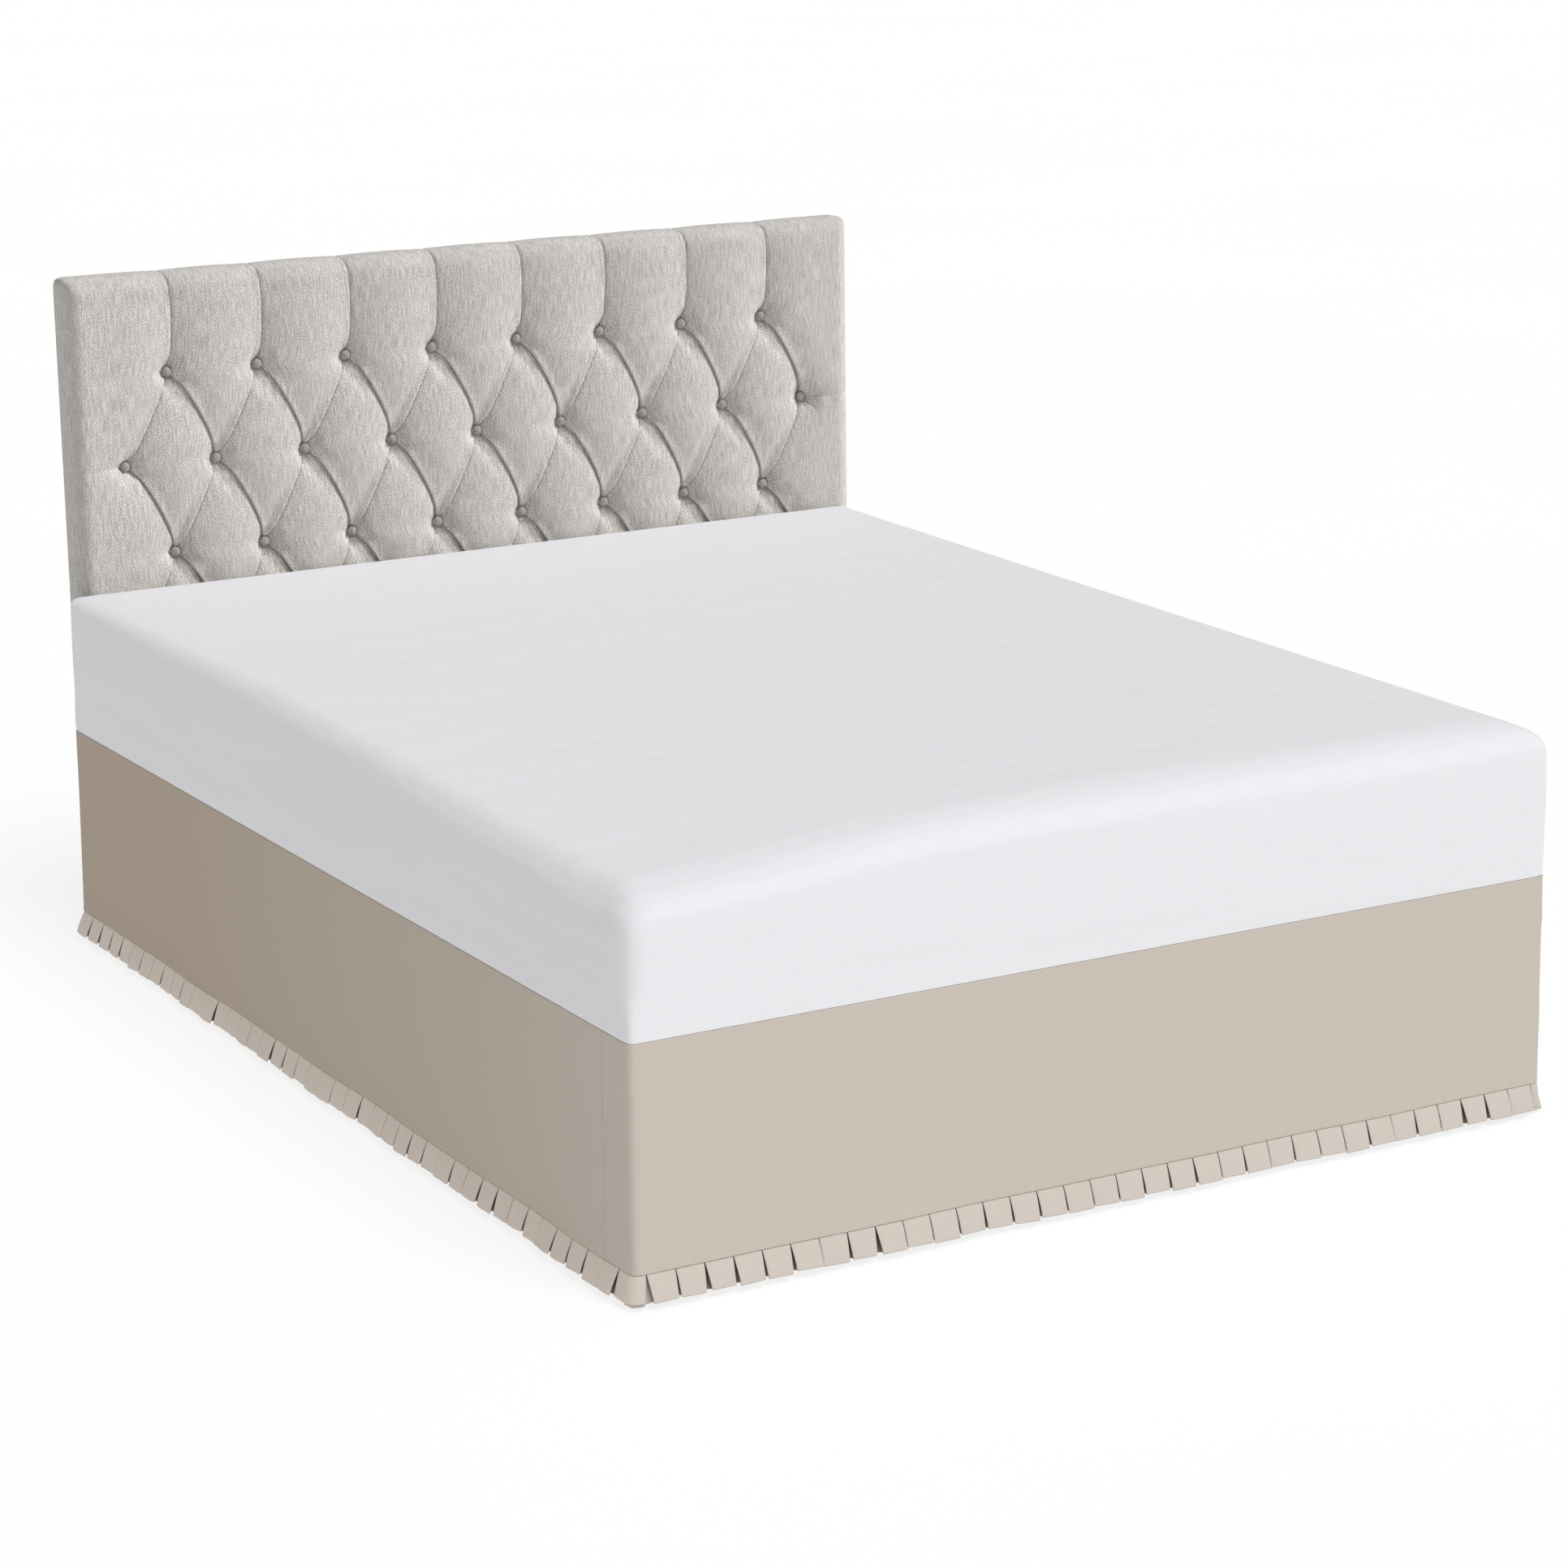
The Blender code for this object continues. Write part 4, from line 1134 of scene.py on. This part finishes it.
# Across a fold, from left to right: extra depth and sideways shift
FALLING_FOLD = {"at": (-14, -9, -5, -2.5, -0.8, 0.4, 1.4, 2.4, 3.4, 5, 7.5, 10.5, 15, 22),
                "depth": (0, 0, 0.2, 0.8, 2.1, 3.1, 3.1, 1.3, -1.4, -2.6, -1.9, -0.7, -0.1, 0),
                "shift": (0, 0, 0, 0.1, 0.2, 0.2, -0.5, -2.0, -3.5, -3.9, -3.6, -2.4, -0.7, 0)}
RISING_FOLD = {"at": (-14, -9, -5, -3.4, -2.2, -1.2, -0.3, 0.6, 1.8, 3.5, 6),
               "depth": (0, -0.6, -2.0, -2.8, -2.4, -1.1, 1.8, 3.2, 1.8, 0.5, 0),
               "shift": (0, 0, 0.3, 1.0, 1.8, 2.7, 2.0, 0.3, 0, 0, 0)}
UPRIGHT_FOLD = {"at": (-16, -10, -6.5, -4.2, -2.8, -1.6, -0.5, 0.6, 1.8, 3.5, 6, 9, 14),
                "depth": (0, -0.5, -1.5, -2.3, -2.5, -1.3, 1.6, 3.4, 2.4, 0.9, -0.5, -0.5, 0),
                "shift": (0, 0.2, 0.9, 1.8, 2.7, 3.2, 2.1, 0.3, 0, 0, 0, 0, 0)}
# Down a pleat from its upper button to its lower one: how far it bows to the right, and how much of
# its fold is left, which opens out at the loose end beside a button
BOW = {"way": (0, 0.12, 0.19, 0.3, 0.43, 0.55, 0.67, 0.79, 0.9, 1),
       "falling": (0, 12, 14, 15, 15, 14.5, 13, 10, 6, 0),
       "rising": (0, 2.4, 3, 3.2, 3.5, 3.7, 3.9, 3.8, 3, 0)}
HOLD = {"way": (0, 0.1, 0.2, 0.35, 0.5, 0.8, 0.9, 1),
        "falling": (0.2, 0.6, 0.95, 1, 1, 0.9, 0.75, 0.5),
        "rising": (0.6, 1, 1, 1, 1, 0.95, 0.6, 0.15)}
UPRIGHT_BOW = {"way": (0, 0.085, 0.2, 0.34, 0.57, 0.68, 0.82, 1),
               "bow": (0, 3.5, 6.5, 8.5, 8.5, 8, 5.5, 3)}
# Left of a pleat the cloth dips and climbs to the fold: beside the loose end of a falling pleat, and
# beside the lower half of a rising one
DIP = {"at": (-34, -26, -20, -16, -9, -3, 0),
       "falling": (0, 1.6, 4.4, 4.8, 2.4, 0.4, 0),
       "rising": (0, 1.8, 2.6, 2.2, 0, -1.4, 0)}
DIPS = {"way": (0, 0.07, 0.16, 0.28, 0.42, 0.6, 0.85, 0.96, 1),
        "falling": (0, 0.6, 1, 0.9, 0.4, 0, 0, 0, 0),
        "rising": (0, 0, 0, 0, 0.35, 1, 1, 0.4, 0)}


def valley(share):
    """1 on a pleat's line and 0 halfway to the next one."""
    near = np.abs(share)
    return 0.86 * np.maximum(0.0, 1.0 - 2.0 * near) ** 2 + 0.14 * np.exp(-near / 0.035)


def from_table(table, column, value):
    return np.interp(value, table["at" if "at" in table else "way"], table[column])


def beside_buttons(across, up):
    """How far out a point is beyond the outer buttons' zigzag line, in pitches."""
    zigzag = np.abs((up + 1.0) % 2.0 - 1.0)
    return np.abs(across) - (OUTER - 0.5 * np.where(up >= 1.0, 1.0, zigzag))


def way_to_top(z):
    return np.clip((z - TOP_ROW_HEIGHT) / (PAD_HIGH[2] - TOP_ROW_HEIGHT), 0.0, 1.0)


def broad_depth(across, up, z):
    """The broad valleys, as deep as the CAD pad's."""
    beside = beside_buttons(across, up)
    outside = np.clip(beside, 0.0, 0.5)
    above = (2.0 - UPRIGHT_FADE * way_to_top(z)) * valley(
        np.where(beside > 0, outside, nearest(across - 0.5)))
    border = (1.0 + valley(nearest(up))) * valley(outside)
    inside = valley(nearest(across + up / 2)) + valley(nearest(across - up / 2))
    return CREASE_DEPTH * np.where(up >= 1.0, above, np.where(beside > 0, border, inside))


def button_pits(x, z):
    """The funnels that the buttons pull, with a few gathers that run out from them."""
    depth = np.zeros_like(x)
    for number, (button_x, button_z) in enumerate(button_places()):
        away = np.hypot(x - button_x, z - button_z)
        close = away < 1.5 * PIT_OUTER
        angle = np.arctan2(z[close] - button_z, x[close] - button_x)
        gathers = np.sin(9 * angle + number) * bump_at(away[close], 0.017, 0.008)
        depth[close] += BUTTON_PIT * (1.0 - smooth_step(PIT_INNER, PIT_OUTER, away[close]))
        depth[close] += GATHERS * gathers
        depth[close] += BUTTON_GROOVE * (1.0 - smooth_step(0.0085, 0.0135, away[close]))
    return depth


print("deepest at a button:", round(1000 * (2 * CREASE_DEPTH + BUTTON_PIT), 1), "mm")

# %% [markdown]
# ## The tufted pad: how its points move
# The depth is a sum: the broad valleys, the folds, the dips beside them and the funnels at the
# buttons. The folds also shift the cloth sideways, so that a lip can hang over. The pad itself starts
# as a box whose front edges are rolled, with squarer corners than a ball's.

# %% The tufted pad: how its points move
def pleat_bow(falling, rising, across, up, way_down, to_top):
    """How far the pleats near a point bow to the right, in millimetres."""
    a, b = np.abs(falling), np.abs(rising)
    bow = b * from_table(BOW, "falling", way_down) + a * from_table(BOW, "rising", way_down)
    bow = np.where(up < 1.0, bow / (a + b + 1e-6), from_table(UPRIGHT_BOW, "bow", to_top))
    return bow * smooth_step(OUTER + 0.55, OUTER - 0.1, np.abs(across))


def tuft(x, z):
    """How deep the cloth lies at each point, and how far it has shifted across and up."""
    across, up = in_lattice(x, z)
    falling, rising, upright = (nearest(across + up / 2), nearest(across - up / 2),
                                nearest(across - 0.5))
    way_down = np.ceil(up) - up                     # 0 at an upper button, 1 at the lower one
    to_top = way_to_top(z)
    beside = beside_buttons(across, up)
    border_falls = (np.floor(up) % 2 == 0) == (across > 0)
    lean = math.atan2(BUTTON_PITCH / 2, BUTTON_ROW)
    folds = (
        (FALLING_FOLD, falling * PLEAT_SPACING, lean, from_table(HOLD, "falling", way_down)
         * (up < 1.0) * ((beside < 0) | border_falls)),
        (RISING_FOLD, rising * PLEAT_SPACING, -lean, from_table(HOLD, "rising", way_down)
         * (up < 1.0) * ((beside < 0) | ~border_falls)),
        (UPRIGHT_FOLD, upright * BUTTON_PITCH, 0.0, (0.4 + 0.6 * smooth_step(0.0, 0.2, to_top))
         * (1.0 - 0.3 * to_top) * (up >= 1.0) * (np.abs(across) < OUTER - 0.3)),
    )
    depth = broad_depth(across, up, z)
    shift_x = pleat_bow(falling, rising, across, up, way_down, to_top) * MM
    shift_z = np.zeros_like(x)
    on_lattice = smooth_step(OUTER + 0.26, OUTER + 0.12, np.abs(across))
    for table, off, tilt, hold in folds:
        depth += MM * on_lattice * hold * from_table(table, "depth", off / MM)
        side = MM * on_lattice * hold * from_table(table, "shift", off / MM)
        shift_x += side * math.cos(tilt)
        shift_z += side * math.sin(tilt)
    for pleat, off in (("falling", falling), ("rising", rising)):
        dip = from_table(DIP, pleat, off * PLEAT_SPACING / MM) * from_table(DIPS, pleat, way_down)
        depth += MM * dip * (up < 1.0) * (beside < 0)
    past_buttons = smooth_step(OUTER, OUTER + 0.08, np.abs(across))
    depth += LEVEL_TUCK * past_buttons * bump_at(z, MIDDLE_ROW_HEIGHT, 0.0028)
    return depth + button_pits(x, z), shift_x, shift_z


def pad_places():
    """Where the pad's box is cut: on the lattice, with its edges added."""
    step_x, step_z = BUTTON_PITCH / COLUMNS_PER_PITCH, BUTTON_ROW / ROWS_PER_ROW
    count = round((PAD_HIGH[0] - PAD_LOW[0]) / 2 / step_x)
    xs = HEADBOARD_SHIFT + np.arange(-count, count + 1) * step_x
    xs[0], xs[-1] = PAD_LOW[0], PAD_HIGH[0]
    below = int((TOP_ROW_HEIGHT - PAD_LOW[2]) / step_z)
    above = round((PAD_HIGH[2] - TOP_ROW_HEIGHT) / step_z)
    zs = TOP_ROW_HEIGHT + np.arange(-below, above + 1) * step_z
    zs[-1] = PAD_HIGH[2]
    zs = np.concatenate(([PAD_LOW[2]], zs))
    ys = PAD_FRONT + np.array((0, 3, 6, 10, 14, 18, 22, 26, 31, 37, 44, 50, 54, 56)) * MM
    return xs, ys, zs


def rolled_surface(points):
    """The pad's box with its front edges and its corners rolled, and which way each point faces."""
    low = np.array((PAD_LOW[0] + PAD_EDGE, PAD_FRONT + PAD_EDGE, PAD_LOW[2] + PAD_LOWER_EDGE))
    high = np.array((PAD_HIGH[0] - PAD_EDGE, np.inf, PAD_HIGH[2] - PAD_EDGE))
    core = np.clip(points, low, high)
    away = points - core
    lower = np.where(away[:, 2] < 0, PAD_EDGE / PAD_LOWER_EDGE, 1.0)
    away[:, 2] *= lower
    plan = np.linalg.norm(away[:, [0, 2]], ord=PAD_CORNER_POWER, axis=1)    # squarer corners
    outward = away / np.hypot(plan, away[:, 1])[:, None]
    reach = outward * PAD_EDGE
    reach[:, 2] /= lower
    return core + reach, outward


print("the pad is", [round(float(n), 3) for n in PAD_HIGH - PAD_LOW], "m")

# %% [markdown]
# ## The tufted pad: the piece
# Each cell of the front is cut along the diagonal that lies on its pleat, so that no fold is broken
# into steps. The tufting is lost toward the back of the rolled edges, where the cloth is stapled.

# %% The tufted pad: the piece
BACK_FADE = 0.72                # how much of the tufting is lost toward the back of the edges
BACK_TURN = 0.002               # how far the cloth turns in behind the board


def split_quads(points, faces):
    """Cuts each cell along the diagonal that follows the nearest pleat."""
    middle = points[faces].mean(axis=1)
    across, up = in_lattice(middle[:, 0], middle[:, 2])
    follow = np.abs(nearest(across + up / 2)) < np.abs(nearest(across - up / 2))
    falls = np.stack((faces[:, [0, 1, 3]], faces[:, [1, 2, 3]]), 1)
    rises = np.stack((faces[:, [0, 1, 2]], faces[:, [0, 2, 3]]), 1)
    return np.where(follow[:, None, None], falls, rises).reshape(-1, 3)


def make_pad():
    points, faces, sides, rim = box_skin(*pad_places(), flat_back=True)
    cloth = draw_to_pleats(points)
    surface, outward = rolled_surface(cloth)
    depth, shift_x, shift_z = tuft(cloth[:, 0], cloth[:, 2])
    back = cloth[:, 1] - PAD_FRONT
    fade = 1.0 - BACK_FADE * smooth_step(0.006, 0.046, back)
    depth *= smooth_step(0.0, 0.02, cloth[:, 2] - PAD_LOW[2])
    moved = surface - outward * (depth * fade)[:, None]
    moved[:, 0] += shift_x * fade
    moved[:, 2] += shift_z * fade
    moved[:, 0] -= (back > 0.055) * BACK_TURN * outward[:, 0]
    front = sides == FRONT
    tris = split_quads(points, faces[front])
    all_faces = tris.tolist() + faces[~front].tolist() + [rim[::-1].tolist()]
    uv = [box_layout(cloth, tris, np.full(len(tris), FRONT)).reshape(-1, 2),
          box_layout(cloth, faces[~front], sides[~front]).reshape(-1, 2),
          cloth[rim[::-1]][:, [0, 2]]]
    piece = make_piece("tufted_headboard_pad", moved, all_faces, LINEN, np.concatenate(uv))
    piece.data.polygons[-1].use_smooth = False
    settle(piece, "grey_linen", "headboard_pad")


make_pad()

# %% [markdown]
# ## Covered buttons
# Each button is a metal shell that the same linen is pressed over: a low dome with a soft rim where
# the cloth turns in. Its linen is drawn darker than the pad's, as painted shade for the shade that the
# puffs cast on it. All are alike, so Geometry Nodes set one on every point of the lattice, each
# tipped a little in its own way. The dome is a flattened sphere and the rim a thin ring.

# %% Covered buttons
BUTTON_RADIUS = 0.0082
BUTTON_CROWN = 0.0045
BUTTON_RIM = 0.0014
BUTTON_SEAT = 0.0205            # how deep the rim lies below the crown of the pad


def button_tree():
    tree, given = new_tree("covered buttons", {"Places": "Geometry", "Button radius": "Float",
                                               "Crown": "Float", "Rim": "Float", "Tip": "Float",
                                               "Seed": "Int", "Cover": "Material"})
    radius = given["Button radius"]
    ball = made_by(tree, "GeometryNodeMeshUVSphere", {"Segments": 28, "Rings": 14, "Radius": 1.0})
    size = made_by(tree, "ShaderNodeCombineXYZ", {"X": radius, "Y": given["Crown"], "Z": radius})
    dome = made_by(tree, "GeometryNodeTransform", {"Geometry": ball, "Scale": size})
    circles = [made_by(tree, "GeometryNodeCurvePrimitiveCircle", {"Resolution": corners, "Radius": size})
               for corners, size in ((28, radius), (8, given["Rim"]))]
    rim = made_by(tree, "GeometryNodeCurveToMesh", {"Curve": circles[0], "Profile Curve": circles[1]})
    stood = made_by(tree, "GeometryNodeTransform",
                    {"Geometry": rim, "Rotation": (math.pi / 2, 0.0, 0.0), "Scale": (0.86, 0.86, 0.86)})
    whole = add_node(tree, "GeometryNodeJoinGeometry")
    for part in (dome, stood):
        tree.links.new(part, whole.inputs["Geometry"])
    least, most = [made_by(tree, "ShaderNodeVectorMath", {0: (way, 0.0, way), "Scale": given["Tip"]},
                           operation="SCALE") for way in (-1.0, 1.0)]
    chance = made_by(tree, "FunctionNodeRandomValue", {0: least, 1: most, "Seed": given["Seed"]},
                     data_type="FLOAT_VECTOR")
    set_out(tree, given["Places"], whole.outputs[0], chance, given["Cover"])
    return tree


def make_buttons():
    places = [(x, PAD_FRONT + BUTTON_SEAT, z) for x, z in button_places()]
    piece = new_shape("headboard_buttons", places)
    grow(piece, button_tree(), {"Button radius": BUTTON_RADIUS, "Crown": BUTTON_CROWN,
                                "Rim": BUTTON_RIM, "Tip": 0.09, "Seed": 7, "Cover": SHADED_BUTTON_LINEN})
    points = np.array([point.co for point in piece.data.vertices])
    corners = [corner.vertex_index for corner in piece.data.loops]
    lay_cloth(piece.data, points[corners][:, [0, 2]])
    settle(piece, "grey_linen", *(f"button_{k + 1:02d}" for k in range(len(places))))


make_buttons()

# %% [markdown]
# ## The headboard's lower panel
# Below the pad the headboard goes on to the floor as a thin upholstered board in the same linen. Only
# a strip of it shows beside the mattress. It is a soft box too, with tighter edges.

# %% The headboard's lower panel
LOWER_EDGE_ROLL = 0.006
LOWER_RIPPLE = 0.0002           # height of its slow unevenness
EDGE_ROLL_CUTS = (0, 1.5, 3, 4.5, 6, 8)


def make_lower_panel():
    low, high = cad_box("headboard_lower_panel")
    points, faces, sides, _ = box_skin(graded(low[0], high[0], 0.03, EDGE_ROLL_CUTS),
                                       graded(low[1], high[1], 0.01, EDGE_ROLL_CUTS),
                                       graded(low[2], high[2], 0.03, EDGE_ROLL_CUTS))
    core = np.clip(points, low + LOWER_EDGE_ROLL, high - LOWER_EDGE_ROLL)
    away = points - core
    moved = core + away / np.linalg.norm(away, axis=1)[:, None] * LOWER_EDGE_ROLL
    ripple = np.sin(9.0 * points[:, 2] + 1.0) * np.sin(5.0 * points[:, 0])
    moved[:, 1] -= LOWER_RIPPLE * ripple
    piece = make_piece("headboard_lower_cover", moved, faces.tolist(), LINEN,
                       box_layout(points, faces, sides))
    settle(piece, "grey_linen", "headboard_lower_panel")


make_lower_panel()

# %% [markdown]
# ## Base and legs
# The base and its legs stand behind the skirt and keep their CAD shapes. Only their finish changes.

# %% Base and legs
def give_finish(node, material):
    """Puts a material on a CAD node without touching its mesh."""
    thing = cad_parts[node]
    for slot in thing.material_slots:
        slot.material = material


give_finish("base", BASE_COVER)
for number in range(1, 7):
    give_finish(f"leg_{number}", BEECH)
print("finished: base and 6 legs")

# %% [markdown]
# ## Floor and light
# The photograph is a studio shot on white. A large pale floor fills the view; it glows faintly, as a
# lit paper backdrop does, so that it stays pale far behind the bed. Three soft lights stand around it.
# The main one is high before the foot and makes the foot and the top brighter than the left side. The
# headboard has one of its own, far to the right, which grazes it and brings out its pleats, and a weak
# warm one from the left reaches the left side's band. They are sun lamps with wide angles: such a lamp
# lights the whole floor alike and leaves soft shadows. Each lights only the pieces in its own
# collection, as flags and screens do in a studio. An even white sky fills the rest.

# %% Floor and light
FLOOR_SIZE = 90.0
FLOOR_GLOW = 0.81
SKY = 0.365
# Direction to each light, its watts on a square metre that faces it, how wide it looks, its colour
LIGHTS = {"bed": ((0.12, -0.50, 0.86), 1.94, math.radians(34), "#FFFFFF"),
          "headboard": ((0.71, -0.355, 0.607), 3.25, math.radians(12), "#FFFFFF"),
          "bands": ((-0.9, 0.1, 0.42), 0.42, math.radians(20), "#FFF3E4")}


def floor_material():
    material, tree, shader = new_material("pale studio floor", 0.9, shine=0.1)
    paint(tree, shader, noise(tree, object_place(tree), (0.6, 0.6, 0.6)), "#7A7A7A", "#7E7E7E")
    shader.inputs["Emission Color"].default_value = (1.0, 1.0, 1.0, 1.0)
    shader.inputs["Emission Strength"].default_value = FLOOR_GLOW
    return material


def make_floor():
    half = FLOOR_SIZE / 2
    corners = np.array([(-half, -half, 0.0), (half, -half, 0.0), (half, half, 0.0), (-half, half, 0.0)])
    make_piece("studio_floor", corners, [[0, 1, 2, 3]], floor_material())


def make_light(name, lit):
    """A sun lamp that lights only the objects in its own collection."""
    direction, strength, angle, tint = LIGHTS[name]
    lamp = bpy.data.lights.new(f"{name} light", "SUN")
    lamp.energy = strength
    lamp.angle = angle
    lamp.color = linear(tint)[:3]
    light = show(lamp.name, lamp)
    light.rotation_euler = Vector(direction).to_track_quat("Z", "Y").to_euler()
    light.location = Vector(direction) * 6.0        # only to be seen in the viewport
    receivers = bpy.data.collections.new(f"lit by the {name} light")
    for thing in lit:
        receivers.objects.link(thing)
    light.light_linking.receiver_collection = receivers
    print("light:", light.name, "on", len(lit), "objects")


def make_sky():
    world = bpy.data.worlds.new("soft white sky")
    world.use_nodes = True
    sky = world.node_tree.nodes["Background"].inputs
    sky["Color"].default_value = (1.0, 1.0, 1.0, 1.0)
    sky["Strength"].default_value = SKY
    bpy.context.scene.world = world
    bpy.context.scene.view_settings.view_transform = "Standard"


make_floor()
make_sky()
meshes = [thing for thing in bpy.context.scene.objects if thing.type == "MESH"]
on_headboard = [thing for thing in meshes if "headboard" in thing.name]
make_light("headboard", on_headboard)
make_light("bed", [thing for thing in meshes if thing not in on_headboard])
make_light("bands", [thing for thing in meshes if "pleated_band" in thing.name])
